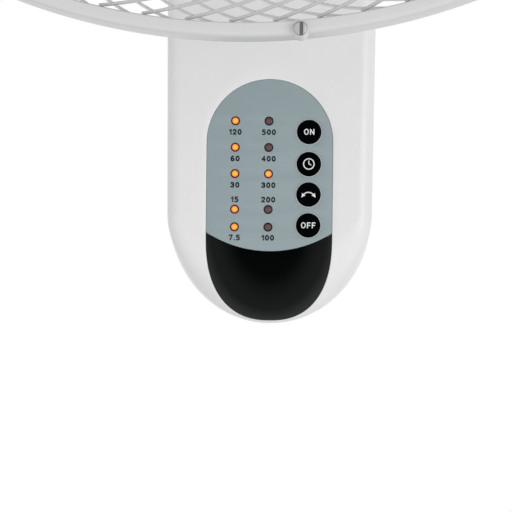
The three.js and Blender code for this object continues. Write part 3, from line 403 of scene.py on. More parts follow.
def spline(knots, count):
    """Catmull-Rom points through the knots, as many as wanted."""
    knots = [Vector(k) for k in knots]
    out = []
    for i in range(count + 1):
        whole = i / count * (len(knots) - 1)
        k = min(int(whole), len(knots) - 2)
        t = whole - k
        a, b = knots[max(k - 1, 0)], knots[k]
        c, d = knots[k + 1], knots[min(k + 2, len(knots) - 1)]
        m0, m1 = (c - a) * 0.5, (d - b) * 0.5
        out.append(b * (2 * t ** 3 - 3 * t ** 2 + 1) + m0 * (t ** 3 - 2 * t ** 2 + t)
                   + c * (3 * t ** 2 - 2 * t ** 3) + m1 * (t ** 3 - t ** 2))
    return out


def tube(path, radius, sides, out_points, out_faces):
    """Adds a round wire along a path to a growing mesh."""
    start = len(out_points)
    for i, here in enumerate(path):
        along = (path[min(i + 1, len(path) - 1)] - path[max(i - 1, 0)]).normalized()
        side = Vector((0, 1, 0)).cross(along).normalized()
        over = along.cross(side)
        for k in range(sides):
            angle = 2 * math.pi * k / sides
            out_points.append(here + side * radius * math.cos(angle) + over * radius * math.sin(angle))
    out_faces += [[start + i for i in face] for face in grid_faces(len(path), sides)]
    out_faces.append([start + k for k in range(sides)])
    last = start + (len(path) - 1) * sides
    out_faces.append([last + k for k in range(sides - 1, -1, -1)])


# ---------------------------------------------------------------- control housing
# Front view: half widths at chin and crown, and the heights where those start.
LOW_HALF, HIGH_HALF, CHIN, CROWN_Z, CROWN = 49.2, 50.4, 52.6, 178.0, 44.0
PANEL_HALF, PANEL_TOP, SHOULDER, LENS_LOW, SQUARENESS = 30.0, 87.3, 41.0, 1.6, 2.4
PANEL_GAP = 0.14
SEAM_Z, SEAM_R, SEAM_GAP = 91.3, 56.0, 0.15
# Distances from the wall: the parting, where chin and sides begin to round, and the front.
PARTING, CHIN_START, SIDE_START, FRONT = 40.0, 54.0, 73.0, 80.0
SIDE_ROUND, CHIN_ROUND = 7, 40
SKIN = 2.8
NECK_GAP = (-16.6, 16.6)
POSTS = [(-40.3, 64), (40.3, 64), (-40.3, 176), (40.3, 176)]


def ring_sizes(depth):
    """How far the rounding of the front draws in the sides and the chin at a depth."""
    edge = np.clip((depth - SIDE_START) / (FRONT - SIDE_START), 0, 1)
    chin = np.clip((depth - CHIN_START) / (FRONT - CHIN_START), 0, 1)
    return SIDE_ROUND * (1 - np.sqrt(1 - edge ** 2)), CHIN_ROUND * (1 - np.sqrt(1 - chin ** 2))


def within(x, z, depth):
    """True where a point lies inside the housing's outline at a depth."""
    side, chin = ring_sizes(depth)
    low, high = LOW_HALF - side, HIGH_HALF - side
    lower = (x / low) ** 2 + ((CHIN - z) / (CHIN - chin)) ** 2
    share = np.clip((z - CHIN) / (CROWN_Z - CHIN), 0, 1)
    middle = (x / (low + (high - low) * share)) ** 2
    upper = (x / high) ** 2 + ((z - CROWN_Z) / (CROWN - side)) ** 2
    return np.where(z < CHIN, lower, np.where(z < CROWN_Z, middle, upper)) <= 1


def face_depth(x, z):
    """How far the front cover stands from the wall at a point of its front view."""
    x, z = np.asarray(x, float), np.asarray(z, float)
    low, high = np.full(x.shape, CHIN_START), np.full(x.shape, FRONT)
    for _ in range(34):
        middle = (low + high) / 2
        inside = within(x, z, middle)
        low, high = np.where(inside, middle, low), np.where(inside, high, middle)
    return np.where(within(x, z, np.full(x.shape, FRONT - 1e-5)), FRONT, low)


def panel_loop(inset, top_steps=64, side_steps=14, low_steps=72):
    """The outline shared by fascia and lens, from the right shoulder round the top."""
    half, drop = PANEL_HALF - inset, SHOULDER - LENS_LOW - inset
    power = 2 / SQUARENESS
    loop = [(half, SHOULDER + (PANEL_TOP - SHOULDER) * i / side_steps) for i in range(side_steps)]
    for i in range(top_steps):
        angle = math.pi * i / top_steps
        loop.append((half * math.cos(angle), PANEL_TOP + half * math.sin(angle)))
    loop += [(-half, PANEL_TOP - (PANEL_TOP - SHOULDER) * i / side_steps) for i in range(side_steps)]
    for i in range(low_steps):
        angle = math.pi * (1 + i / low_steps)
        c, s = math.cos(angle), math.sin(angle)
        loop.append((math.copysign(half * abs(c) ** power, c), SHOULDER - drop * abs(s) ** power))
    return loop


def cover_lines():
    """For each point of the panel's opening, a line over the cover out to the parting."""
    opening = np.array(panel_loop(-PANEL_GAP))
    heart = np.stack([np.zeros(len(opening)), np.clip(opening[:, 1], SHOULDER, PANEL_TOP)], 1)
    ray = opening - heart
    near, far = np.ones(len(ray)), np.full(len(ray), 12.0)
    for _ in range(40):
        middle = (near + far) / 2
        spot = heart + ray * middle[:, None]
        inside = within(spot[:, 0], spot[:, 1], np.full(len(ray), 50.0))
        near, far = np.where(inside, middle, near), np.where(inside, far, middle)
    edge = heart + ray * near[:, None]
    shares = 1 - (1 - np.linspace(0, 1, 260)) ** 2
    flat = opening[:, None, :] + (edge - opening)[:, None, :] * shares[None, :, None]
    depth = face_depth(flat[..., 0], flat[..., 1])
    depth[:, -1] = np.where(edge[:, 1] < CHIN, CHIN_START, SIDE_START)
    lines = np.stack([flat[..., 0], -depth, flat[..., 1]], 2)
    back = np.linspace(0, 1, 20)[1:]
    tail = np.repeat(lines[:, -1:, :], len(back), 1)
    tail[:, :, 1] = lines[:, -1:, 1] + (-PARTING - lines[:, -1:, 1]) * back[None, :]
    return np.concatenate([lines, tail], 1), opening, heart


def resample(line, count, bend=9.0):
    """Even steps along a line, closer together where it turns."""
    step = np.diff(line, axis=0)
    length = np.linalg.norm(step, axis=1)
    unit = step / np.maximum(length, 1e-9)[:, None]
    turn = np.arccos(np.clip((unit[1:] * unit[:-1]).sum(1), -1, 1))
    measure = np.concatenate([[0], np.cumsum(length + bend * np.concatenate([[0], turn]))])
    wanted = np.linspace(0, measure[-1], count)
    return np.stack([np.interp(wanted, measure, line[:, k]) for k in range(3)], 1)


def front_cover():
    """A skin from the opening's ledge out to the parting and back on the inside."""
    lines, opening, heart = cover_lines()
    rows = np.stack([resample(line, 44) for line in lines])
    inward = heart - opening
    inward /= np.linalg.norm(inward, axis=1)[:, None]
    ledge = opening + inward * 2.4
    ledge = np.stack([ledge[:, 0], -face_depth(ledge[:, 0], ledge[:, 1]), ledge[:, 1]], 1)
    sheet = np.concatenate([ledge[:, None, :], rows], 1)
    across = np.roll(sheet, -1, 0) - np.roll(sheet, 1, 0)
    along = np.gradient(sheet, axis=1)
    normal = np.cross(along, across)
    normal /= np.maximum(np.linalg.norm(normal, axis=2), 1e-9)[..., None]
    if normal[5, 2, 1] > 0:
        normal = -normal
    lip, lip_normal, ledge_normal = rows[:, 0], normal[:, 1], normal[:, 0]
    toward = rows[:, 1] - lip
    toward /= np.linalg.norm(toward, axis=1)[:, None]
    loop = [ledge - ledge_normal * 3.5, ledge - ledge_normal * 2.25]
    loop += [lip - lip_normal * 2.25, lip - lip_normal * 0.35]
    loop += [lip - lip_normal * 0.1 + toward * 0.1, lip + toward * 0.35]
    loop += [rows[:, k] for k in range(2, rows.shape[1] - 1)]
    last, last_normal = rows[:, -1], normal[:, -1]
    loop += [last + np.array([0, -0.4, 0]), last - last_normal * 0.4, last - last_normal * SKIN]
    loop += [rows[:, k] - normal[:, k + 1] * SKIN for k in range(rows.shape[1] - 2, 1, -4)]
    points = np.stack(loop, 1)
    faces = grid_faces(points.shape[0], points.shape[1], rows_closed=True)
    obj = raw("front_cover_shell", points.reshape(-1, 3), faces, HOUSING)
    carve(obj, [box_tool(*NECK_GAP, -38, -65.6, 170, 240)])
    return dress(obj, WHITE, "root", ["front_cover"], "white_plastic", angle=32)


def outline(inset, steps=48, sides=10):
    """The housing's outline pulled in evenly, as even points."""
    low, high = LOW_HALF - inset, HIGH_HALF - inset
    loop = []
    for i in range(steps):
        angle = -math.pi * i / steps
        loop.append((low * math.cos(angle), CHIN + (CHIN - inset) * math.sin(angle)))
    loop += [(-low + (low - high) * i / sides, CHIN + (CROWN_Z - CHIN) * i / sides) for i in range(sides)]
    for i in range(steps):
        angle = math.pi - math.pi * i / steps
        loop.append((high * math.cos(angle), CROWN_Z + (CROWN - inset) * math.sin(angle)))
    loop += [(high + (low - high) * i / sides, CROWN_Z + (CHIN - CROWN_Z) * i / sides) for i in range(sides)]
    return loop


def rear_cover():
    """A tray made of an outer and an inner skin, each a list of (y, inset)."""
    outer = [(-39.7, SKIN), (-39.7, 0.4), (-39.3, 0.0), (-30, 0.32), (-18, 0.75), (-6.4, 1.2), (-5.2, 1.32),
             (-4.2, 1.65), (-3.3, 2.15), (-2.5, 2.8), (-1.8, 3.6), (-1.3, 4.5), (-1.05, 5.4), (-1, 6.4)]
    inner = [(-39.7, SKIN), (-20, 3.2), (-6.5, 4), (-4.6, 6)]
    points, faces, cols = [], [], len(outline(0))
    for skin in (outer, inner):
        start = len(points)
        for y, inset in skin:
            points += [(x, y, z) for x, z in outline(inset)]
        faces += [[start + i for i in face] for face in grid_faces(len(skin), cols)]
        faces.append([start + (len(skin) - 1) * cols + k for k in range(cols)])
    obj = raw("rear_cover_shell", points, faces, HOUSING)
    tools = [box_tool(-29, 29, 1, -2.2, 74, 186)]      # the wall bracket's bed
    tools.append(box_tool(*NECK_GAP, -38.4, -45, 170, 240))
    tools += [box_tool(x - 7, x + 7, 1, -8, 97, 107.9) for x in (-16, 16)]
    tools += [rod_tool(x, z, 1, -8, 4.3) for x, z in POSTS]
    tools += [rod_tool(x, 152, 1, -8, 3.7) for x in (-15, 15)]
    tools.append(rod_tool(0, 44, 1, -8, 6.3))          # the cord inlet
    for tool in tools:
        carve(obj, [tool])
    return dress(obj, WHITE, "root", ["rear_cover"], "white_plastic", angle=32)


front_cover()
rear_cover()


# ---------------------------------------------------------------- panel
LED_X, LED_Z = (-16.5, -0.5), (97.5, 84.9, 72.3, 55.3, 46.9)
KEY_X, KEY_Z = 18.7, (92.4, 77.1, 62.6, 47.9)
KEY_NAMES = ("power_key", "timer_key", "swing_key", "off_key")


def flat_shape(name, loops, y_back, y_front, bevel):
    """A flat plate in the XZ plane with holes, its edges softened."""
    curve = bpy.data.curves.new(name, "CURVE")
    curve.dimensions = "2D"
    curve.fill_mode = "BOTH"
    curve.extrude = (abs(y_front - y_back) / 2 - bevel) * MM
    curve.bevel_depth = bevel * MM
    curve.bevel_resolution = 2
    curve.offset = -bevel * MM
    for loop in loops:
        line = curve.splines.new("POLY")
        line.points.add(len(loop) - 1)
        for point, (x, z) in zip(line.points, loop):
            point.co = (x * MM, z * MM, 0, 1)
        line.use_cyclic_u = True
    holder = add_object(name, curve)
    graph = bpy.context.evaluated_depsgraph_get()
    mesh = bpy.data.meshes.new_from_object(holder.evaluated_get(graph))
    bpy.data.objects.remove(holder)
    turn = Matrix.Translation((0, (y_back + y_front) / 2 * MM, 0)) @ Matrix.Rotation(RAD(90), 4, "X")
    mesh.transform(HOUSING @ turn)
    return add_object(name, mesh)


def seam(radius, steps):
    """The curved seam across the panel, from its right end to its left."""
    reach = math.asin(PANEL_HALF / radius)
    turns = [reach * (1 - 2 * i / steps) for i in range(steps + 1)]
    return [(radius * math.sin(a), SEAM_Z - radius * math.cos(a)) for a in turns]


def fascia():
    edge = [(-x, z) for x, z in seam(SEAM_R - SEAM_GAP, 60)]
    loop = [p for p in panel_loop(0) if p[1] > edge[0][1] + 0.01] + edge
    holes = [circle(x, z, 2.16) for x in LED_X for z in LED_Z]
    holes += [circle(KEY_X, z, 6.3, 64) for z in KEY_Z]
    obj = flat_shape("fascia_sheet", [loop, *holes], -78.05, -79.65, 0.12)
    return dress(obj, FASCIA, "root", ["fascia_panel"], "fascia_grey", angle=50)


def lens():
    """A plate that follows the cover's curve, as rings that shrink towards its heart."""
    edge = seam(SEAM_R + SEAM_GAP, 64)[:-1]
    top = edge[0][1]
    side = [p for p in panel_loop(0, low_steps=96) if p[1] < top - 0.3]
    rising = [p for p in side if p[0] > 0 and p[1] >= SHOULDER]
    falling = [p for p in side if p not in rising]
    loop = np.array([*edge, (-PANEL_HALF, top), *falling, *rising])
    heart = np.array([0.0, 15.0])
    shares = [1.0, 0.9965, 0.988, 0.97, 0.94, 0.9, 0.85, 0.78, 0.7, 0.6, 0.5, 0.4, 0.3, 0.2, 0.1]
    sinks = [0.45, 0.18, 0.04] + [0] * (len(shares) - 3)
    points = []
    for share, sink in zip(shares, sinks):
        ring = heart + (loop - heart) * share
        depth = face_depth(ring[:, 0], ring[:, 1]) - 0.1 - sink
        points += [(x, -d, z) for (x, z), d in zip(ring, depth)]
    cols = len(loop)
    faces = grid_faces(len(shares), cols)
    points.append((0, -float(face_depth(*heart)) + 0.1, 15))
    last = (len(shares) - 1) * cols
    faces += [[last + k, last + (k + 1) % cols, len(points) - 1] for k in range(cols)]
    start = len(points)
    for share in (1.0, 0.6, 0.2):
        ring = heart + (loop - heart) * share
        depth = face_depth(ring[:, 0], ring[:, 1]) - 1.8
        points += [(x, -d, z) for (x, z), d in zip(ring, depth)]
    faces += [[start + i for i in face] for face in grid_faces(3, cols)]
    faces += [[k, (k + 1) % cols, start + (k + 1) % cols, start + k] for k in range(cols)]
    faces.append([start + 2 * cols + k for k in range(cols)])
    obj = raw("lens_shell", points, faces, HOUSING)
    return dress(obj, LENS, "root", ["remote_lens"], "black_lens", angle=50)


fascia()
lens()
lit = {("left", i) for i in range(1, 6)} | {("right", 3)}
for side, x in zip(("left", "right"), LED_X):
    for row, z in enumerate(LED_Z, 1):
        on = (side, row) in lit
        profile = [(0, -70.3), (2.08, -70.3), (2.08, -79.35), (1.4, -79.9), (0, -80.05)]
        turned(f"lamp_{side}_{row}", profile, LAMP_ON if on else LAMP_OFF, "root", HOUSING, radius=0.9,
               sides=40, at=(x, z), replaces=[f"led_{side}_{row}"], slot="led_amber" if on else "led_unlit")


def key_crown(r):
    """Depth of a key's crown at a distance from its axis."""
    return -81.1 + 0.62 * (r / 5.8) ** 2


stem = [(0, -74.5), (2.6, -74.5, 0.2), (2.6, -76.55, 0.2)]
flange = [(7, -76.55, 0.2), (7, -77.7, 0.2), (5.7, -77.7, 0)]
rounding = [(5.7, -80.2, 0), (5.58, -80.4, 0), (5.42, -80.53, 0)]
crown = [(5.25 * k / 8, key_crown(5.25 * k / 8), 0) for k in range(8, -1, -1)]
profile = stem + flange + rounding + crown
rim = [(5.8, -78.2), (6.28, -78.2), (6.28, -79.86), (5.8, -79.86)]
for name, z in zip(KEY_NAMES, KEY_Z):
    # The surround's lighter grey is a painted highlight round the key's edge.
    turned(name + "_surround", rim, KEY_RIM, "root", HOUSING, radius=0.2, sides=72, at=(KEY_X, z),
           slot="fascia_grey", angle=40)
    turned(name + "_dome", profile, KEY, name, HOUSING, radius=0.2, sides=72, at=(KEY_X, z),
           replaces=[name], slot="black_key", angle=40)


# ---------------------------------------------------------------- marks on the panel
PRINT = 0.03                                           # thickness of the printing
PRINT_Y = -79.68                                       # just before the fascia


def lay(name, spots, faces, x, z, bent=False):
    """Flat faces laid at (x, z) on the fascia, or bent to a key's crown, and thickened."""
    work = bmesh.new()
    made = [work.verts.new((a, 0, b)) for a, b in spots]
    for face in faces:
        work.faces.new([made[i] for i in face])
    bmesh.ops.remove_doubles(work, verts=work.verts, dist=1e-4)
    if bent:
        bmesh.ops.triangulate(work, faces=work.faces)
        bmesh.ops.subdivide_edges(work, edges=work.edges, cuts=1, use_grid_fill=True)
    for v in work.verts:
        r = math.hypot(v.co.x, v.co.z)
        v.co = (v.co.x + x, key_crown(r) - PRINT if bent else PRINT_Y, v.co.z + z)
    mesh = bpy.data.meshes.new(name)
    work.to_mesh(mesh)
    work.free()
    mesh.transform(HOUSING @ Matrix.Scale(MM, 4))
    obj = add_object(name, mesh)
    thick = obj.modifiers.new("thickness", "SOLIDIFY")
    thick.thickness = PRINT * MM
    thick.offset = 0
    apply_modifiers(obj)
    return obj


def strip(points, width, closed=False):
    """A flat line of even width as quads."""
    spots, faces = [], []
    count = len(points)
    for i, (a, b) in enumerate(points):
        before = points[(i - 1) % count] if closed or i else points[i]
        after = points[(i + 1) % count] if closed or i < count - 1 else points[i]
        d = Vector((after[0] - before[0], after[1] - before[1])).normalized()
        spots += [(a - d.y * width / 2, b + d.x * width / 2), (a + d.y * width / 2, b - d.x * width / 2)]
    for i in range(count if closed else count - 1):
        j = (i + 1) % count
        faces.append([2 * i, 2 * j, 2 * j + 1, 2 * i + 1])
    return spots, faces


def combine(*parts):
    spots, faces = [], []
    for own, own_faces in parts:
        start = len(spots)
        spots += own
        faces += [[start + i for i in face] for face in own_faces]
    return spots, faces


def oval(half):
    """A closed oval, one high, that starts at the pen."""
    turns = [RAD(a) for a in range(0, 361, 20)]
    return [(half + half * math.cos(a), 0.5 + 0.5 * math.sin(a)) for a in turns]


# Each figure's width and its one line, in shares of its size.
FIGURES = {
    "0": (0.95, oval(0.475)),
    "1": (0.42, [(0, 0.74), (0.42, 1), (0.42, 0)]),
    "2": (0.95, [(0.02, 0.72), (0.1, 0.9), (0.3, 0.99), (0.6, 1), (0.84, 0.9), (0.92, 0.7),
                 (0.8, 0.48), (0, 0), (0.95, 0)]),
    "3": (0.95, [(0.04, 0.82), (0.2, 0.96), (0.48, 1), (0.78, 0.93), (0.88, 0.76), (0.78, 0.59), (0.42, 0.53),
                 (0.8, 0.47), (0.95, 0.27), (0.82, 0.06), (0.48, 0), (0.15, 0.05), (0, 0.2)]),
    "4": (1.0, [(0.74, 0), (0.74, 1), (0, 0.28), (1, 0.28)]),
    "5": (0.95, [(0.88, 1), (0.12, 1), (0.08, 0.58), (0.55, 0.61), (0.84, 0.53), (0.95, 0.31),
                 (0.84, 0.08), (0.5, 0), (0.02, 0)]),
    "6": (0.95, [(0.8, 1), (0.48, 1), (0.16, 0.84), (0.02, 0.5), (0.02, 0.22), (0.2, 0.02), (0.5, 0),
                 (0.82, 0.06), (0.95, 0.27), (0.82, 0.48), (0.48, 0.54), (0.1, 0.46)]),
    "7": (0.92, [(0, 1), (0.92, 1), (0.34, 0)]),
    ".": (0.0, [(0, 0), (0, 0.01)]),
    "O": (1.15, oval(0.575)),
    "N": (1.0, [(0, 0), (0, 1), (1.0, 0), (1.0, 1)]),
    "F": (0.8, [(0, 0), (0, 1), (0.8, 1), (0, 1), (0, 0.5), (0.7, 0.5)]),
}


def stroke(points, width):
    """A line of even width with round joints and ends."""
    spots, faces = [], []
    for (a, b), (c, d) in zip(points, points[1:]):
        side = Vector((b - d, c - a)).normalized() * width / 2
        faces.append([len(spots) + k for k in range(4)])
        spots += [(a + side.x, b + side.y), (c + side.x, d + side.y)]
        spots += [(c - side.x, d - side.y), (a - side.x, b - side.y)]
    for a, b in points:
        faces.append([len(spots) + k for k in range(16)])
        spots += circle(a, b, width / 2, 16)
    return spots, faces


def lettering(word, height=2.75, width=0.63, gap=0.42):
    """Plain lettering as round ended strokes, centred on the origin."""
    tall = height - width
    wide = 0.66 * tall
    total = sum(FIGURES[c][0] * wide + width for c in word) + gap * (len(word) - 1)
    pen, parts = -total / 2, []
    for character in word:
        reach, line = FIGURES[character]
        line = [(pen + width / 2 + a * wide, (b - 0.5) * tall) for a, b in line]
        parts.append(stroke(line, width))
        pen += reach * wide + width + gap
    return combine(*parts)


LABEL_Z = (92.2, 79.5, 66.9, 60.0, 41.8)
LABELS = (("left", LED_X[0], ("120", "60", "30", "15", "7.5")),
          ("right", LED_X[1], ("500", "400", "300", "200", "100")))
for side, x, words in LABELS:
    for row, (z, word) in enumerate(zip(LABEL_Z, words), 1):
        dress(lay(f"label_{side}_{row}", *lettering(word), x, z), INK, "root", slot="dark_plastic")

MARK_LETTERS = (2.9, 0.5, 0.55)                        # height, stroke and gap
clock = combine(
    strip(circle(0, 0, 2.5, 40), 0.5, closed=True),
    strip([(0, 0), (0, 1.6)], 0.45), strip([(0, 0), (1.15, -0.5)], 0.45),
)
arc = strip([(3.0 * math.sin(RAD(a)), 3.0 * math.cos(RAD(a)) - 2.4) for a in range(-58, 59, 4)], 0.5)
tips = [([(3.4 * turn, -1.9), (1.5 * turn, -0.9), (3.0 * turn, 0.3)], [[0, 1, 2]]) for turn in (-1, 1)]
MARKS = (("mark_on", lettering("ON", *MARK_LETTERS), 0.0), ("mark_timer", clock, 0.0),
         ("mark_swing", combine(arc, *tips), 0.4), ("mark_off", lettering("OFF", *MARK_LETTERS), 0.0))
for (name, shape, rise), key, z in zip(MARKS, KEY_NAMES, KEY_Z):
    dress(lay(name, *shape, KEY_X, z + rise, bent=True), KEY_INK, key, slot="white_plastic")


# ---------------------------------------------------------------- guards
RING_Y, RING_R, RIM_R, RIM_Y = -169.0, 222.0, 218.2, 2.6
WIRES, WIRE_R, WIRE_START, WIRE_END = 92, 0.62, 54, 216.5
SCREW_TURN, SCREW_R = RAD(5.0), 220.7
HUB_FACE = -99.5


def swirl(r, rim_turn):
    """How far round a wire has turned at a radius; rim_turn is its share towards the rim."""
    share = (r - WIRE_START) / (WIRE_END - WIRE_START)
    return 0.27 * math.log(r / WIRE_START) + rim_turn * share ** 2


def wires(profile, direction, rim_turn, phase, points, faces):
    """Wires from hub to rim along a dished profile, each leaning as it goes out."""
    base = spline(profile, 26)
    first = math.pi - SCREW_TURN + 2 * math.pi * phase / WIRES
    at_rim = swirl(WIRE_END, rim_turn)
    for n in range(WIRES):
        path = []
        for spot in base:
            turn = first + 2 * math.pi * n / WIRES + direction * (swirl(spot.x, rim_turn) - at_rim)
            path.append(Vector((spot.x * math.sin(turn), spot.y, spot.x * math.cos(turn))))
        tube(path, WIRE_R, 6, points, faces)


def guard(name, node, material, profile, direction, rim_turn, phase, hub):
    """One half of the guard: its wires, its hub ring, and its rim where the profile ends."""
    points, faces = [], []
    wires(profile, direction, rim_turn, phase, points, faces)
    for ring in (fillet(hub, 0.6), circle(RIM_R, profile[-1][1], 1.5, 12)):
        own, own_faces = turned_mesh(ring, 180)
        start = len(points)
        points += own
        faces += [[start + i for i in face] for face in own_faces]
    return dress(raw(name, points, faces, HEAD), material, "head", [node], "guard_white", angle=50)


guard("rear_guard_wires", "rear_guard", REAR_WIRE_PAINTED_LIGHT, [
    (55, -101), (112, -104), (163, -114), (200, -132), (WIRE_END, RING_Y + RIM_Y),
], -1, 0.634, 0.9, [(19.3, HUB_FACE), (58, HUB_FACE), (58, HUB_FACE - 3), (19.3, HUB_FACE - 3)])
guard("front_guard_wires", "front_guard", FRONT_WIRE_PAINTED_SHADE, [
    (55, -207), (112, -203), (163, -194), (200, -181), (WIRE_END, RING_Y - RIM_Y),
], 1, 1.254, 0.6, [(50, -208.5), (58, -208.5), (58, -205.5), (50, -205.5)])


def guard_ring():
    """The ring round both rims, open inwards, with its lug and the screw in it."""
    front, rear = RING_Y - 6, RING_Y + 6
    lip, floor_r, wall = 217.4, RING_R - 2, 1.6
    profile = fillet([
        (lip, front, 0.5), (RING_R, front, 3.4), (RING_R, rear, 2.4), (lip, rear, 0.5),
        (lip, rear - wall, 0.3), (floor_r, rear - wall, 0.2), (floor_r, front + wall, 0.2),
        (lip, front + wall, 0.3),
    ], 0.5, 5)
    obj = raw("guard_ring_band", *turned_mesh(profile, 360), HEAD)
    x, z = SCREW_R * math.sin(SCREW_TURN), -SCREW_R * math.cos(SCREW_TURN)
    lug = fillet([(0, RING_Y), (2.7, RING_Y), (2.7, front - 1), (0, front - 1)], 0.6)
    carve(obj, [turned_tool(lug, 32, HEAD, at=(x, 0, z))], "UNION")
    carve(obj, [rod_tool(x, z, front - 5, RING_Y + 1, 1.1, HEAD)])
    dress(obj, GUARD, "head", ["guard_ring"], "guard_white", angle=40)
    face = front - 1.3
    screw = turned_mesh(fillet([
        (0, face + 6.4, 0), (0.9, face + 5.4), (0.9, face), (2.4, face), (2.4, face - 1.1),
        (1.9, face - 1.55), (0, face - 1.65, 0),
    ], 0.3), 32)
    obj = raw("ring_screw_head", [(a + x, b, c + z) for a, b, c in screw[0]], screw[1], HEAD)
    left, right = x - 0.25, x + 0.95                   # the sides of its slot
    carve(obj, [box_tool(left, right, face - 3, face - 0.4, z - 3, z + 3, HEAD)])
    dress(obj, DULL_STEEL, "head", ["ring_screw"], "steel")
    # A dark block in the slot: painted shade where the slot's floor falls dark.
    shade = box_points(left, right, face - 0.45, face - 1.2, z - 2.2, z + 2.2)
    dress(raw("ring_screw_slot_painted_shade", *shade, HEAD), PAINTED_SLOT_SHADE, "head", slot="dark_plastic")


guard_ring()

# ---------------------------------------------------------------- head
CAP = -208.8
turned("centre_cap_dome", [
    (49.7, CAP + 5), (49.7, CAP), (58, CAP), (57, CAP - 3, 2), (46, CAP - 5.5, 6), (24, CAP - 6.6, 8),
    (0, CAP - 7.4), (0, CAP - 5), (24, CAP - 4.6), (47.3, CAP - 2.6), (47.3, CAP + 5),
], WHITE, "head", HEAD, sides=128, replaces=["centre_cap"], slot="white_plastic")


def add_grips(obj, count, radius, size, back, front, first):
    """Adds round grips, evenly about the head's axis from a first angle on."""
    for i in range(count):
        a = RAD(360 / count * i + first)
        grip = rod_tool(radius * math.cos(a), radius * math.sin(a), back, front, size, HEAD, 24)
        carve(obj, [grip], "UNION")


def guard_nut():
    face = HUB_FACE - 3.3
    profile = [(19.3, face), (34, face), (34, face - 3), (30, face - 8), (19.3, face - 8)]
    obj = raw("guard_nut_ring", *turned_mesh(fillet(profile, 0.8), 96), HEAD)
    first = 1.3                                        # clear of the ring's own corners
    add_grips(obj, 6, 32, 3.2, face - 0.2, face - 6, first)
    dress(obj, WHITE, "head", ["guard_nut"], "white_plastic", width=0.35)


guard_nut()


def cover_skin(inset):
    """One skin of the motor cover, from its open front to the middle of its tail."""
    front, belly, radius, end = -95.5, 6, 60 - inset, 65 - inset
    shape = [(radius - 3, front), (radius - 2.4, front + 5), (radius, front + 26)]
    for i in range(27):
        share = i / 26
        r = radius * (1 - share ** 2.8 * 0.58)
        if share > 0.9:
            r *= 1 - 0.28 * ((share - 0.9) / 0.1) ** 2
        shape.append((r, belly + (end - belly) * share))
    return shape + [(0, end)]


def motor_cover():
    profile = cover_skin(0) + cover_skin(2.2)[::-1]
    obj = raw("motor_cover_shell", *turned_mesh(profile, 128), HEAD)
    neck_hole = [(0, -90), (16, -90), (16, -30), (0, -30)]
    carve(obj, [turned_tool(neck_hole, 48, HEAD, "Z")])
    carve(obj, [rod_tool(0, 0, 50, 80, 2, HEAD)])      # for the cover's screw
    slots = []
    for side in (-1, 1):
        for y in (-48, -34, -20):
            slots.append(box_tool(side * 40, side * 80, y, y + 4.5, -14, 14, HEAD))
    carve(obj, slots)
    dress(obj, WHITE, "head", ["motor_cover"], "white_plastic", angle=35)


motor_cover()


# ---------------------------------------------------------------- impeller
BLADES, BLADE_Y, BLADE_HALF = 5, -147, 0.9             # number, place and half the thickness
ROOT_R, TIP_R = 38, 192
ROOT_PITCH, TIP_PITCH = 38, 17                         # degrees
ROOT_CHORD, TIP_CHORD = 40, 118


def blade(turn, points, faces, stations=26, chord_points=14):
    """Adds a blade: sections from hub to tip that turn, widen and lean, then round off."""
    rings = []
    for s in range(stations + 1):
        part = 1 - (1 - s / stations) ** 1.35          # closer together towards the tip
        r = ROOT_R + (TIP_R - ROOT_R) * part
        pitch = RAD(ROOT_PITCH + (TIP_PITCH - ROOT_PITCH) * math.sqrt(part))
        rounded = math.sqrt(max(0.04, 1 - max(0, (part - 0.72) / 0.28) ** 2.4))
        chord = (ROOT_CHORD + (TIP_CHORD - ROOT_CHORD) * part ** 0.8) * (0.55 + 0.45 * rounded)
        lean = RAD(26) * part ** 1.4
        ring = []
        for side in (1, -1):
            for c in range(chord_points + 1):
                u = (c if side > 0 else chord_points - c) / chord_points - 0.5
                camber = 0.07 * chord * (1 - 4 * u * u)
                across = u * chord * math.cos(pitch) + camber * math.sin(pitch)
                rise = u * chord * math.sin(pitch) - camber * math.cos(pitch)
                angle = turn + lean + across / max(r, 60)
                half = side * BLADE_HALF * math.sqrt(max(0.06, 1 - (2 * abs(u)) ** 8))
                ring.append((r * math.cos(angle), BLADE_Y + rise + half, r * math.sin(angle)))
        rings.append(ring)
    start, cols = len(points), len(rings[0])
    for ring in rings:
        points += ring
    faces += [[start + i for i in face] for face in grid_faces(len(rings), cols)]
    faces.append([start + k for k in range(cols)])
    faces.append([start + (len(rings) - 1) * cols + k for k in range(cols - 1, -1, -1)])


def impeller():
    rear, front = -127, -167
    points, faces = turned_mesh(fillet([
        (38.6, rear, 0.4), (41, rear, 0.8), (41, front + 8, 4), (34, front, 4), (4.3, front, 0.3),
        (4.3, rear - 6, 0.3), (8, rear - 6, 0.4), (8, front + 3, 0.5), (32.5, front + 3, 3),
        (38.6, front + 9, 3),
    ], 0.5, 5), 96)
    for i in range(BLADES):
        blade(2 * math.pi * i / BLADES, points, faces)
    obj = raw("impeller_blades", points, faces, HEAD)
    dress(obj, BLADE, "impeller", ["impeller"], "blade_white", angle=40)
    face = front - 0.3
    spinner = turned_mesh(fillet([
        (4.3, face), (17, face), (17, face - 3), (12, face - 6, 1.5), (9.5, face - 15, 1.5),
        (7, face - 19, 1.5), (0, face - 20), (0, face - 17), (4.3, face - 17),
    ], 0.5), 72)
    obj = raw("spinner_grip", *spinner, HEAD)
    add_grips(obj, 3, 12, 3, face - 1, face - 12, 90)
    dress(obj, WHITE, "impeller", ["spinner_nut"], "white_plastic", width=0.3)


impeller()


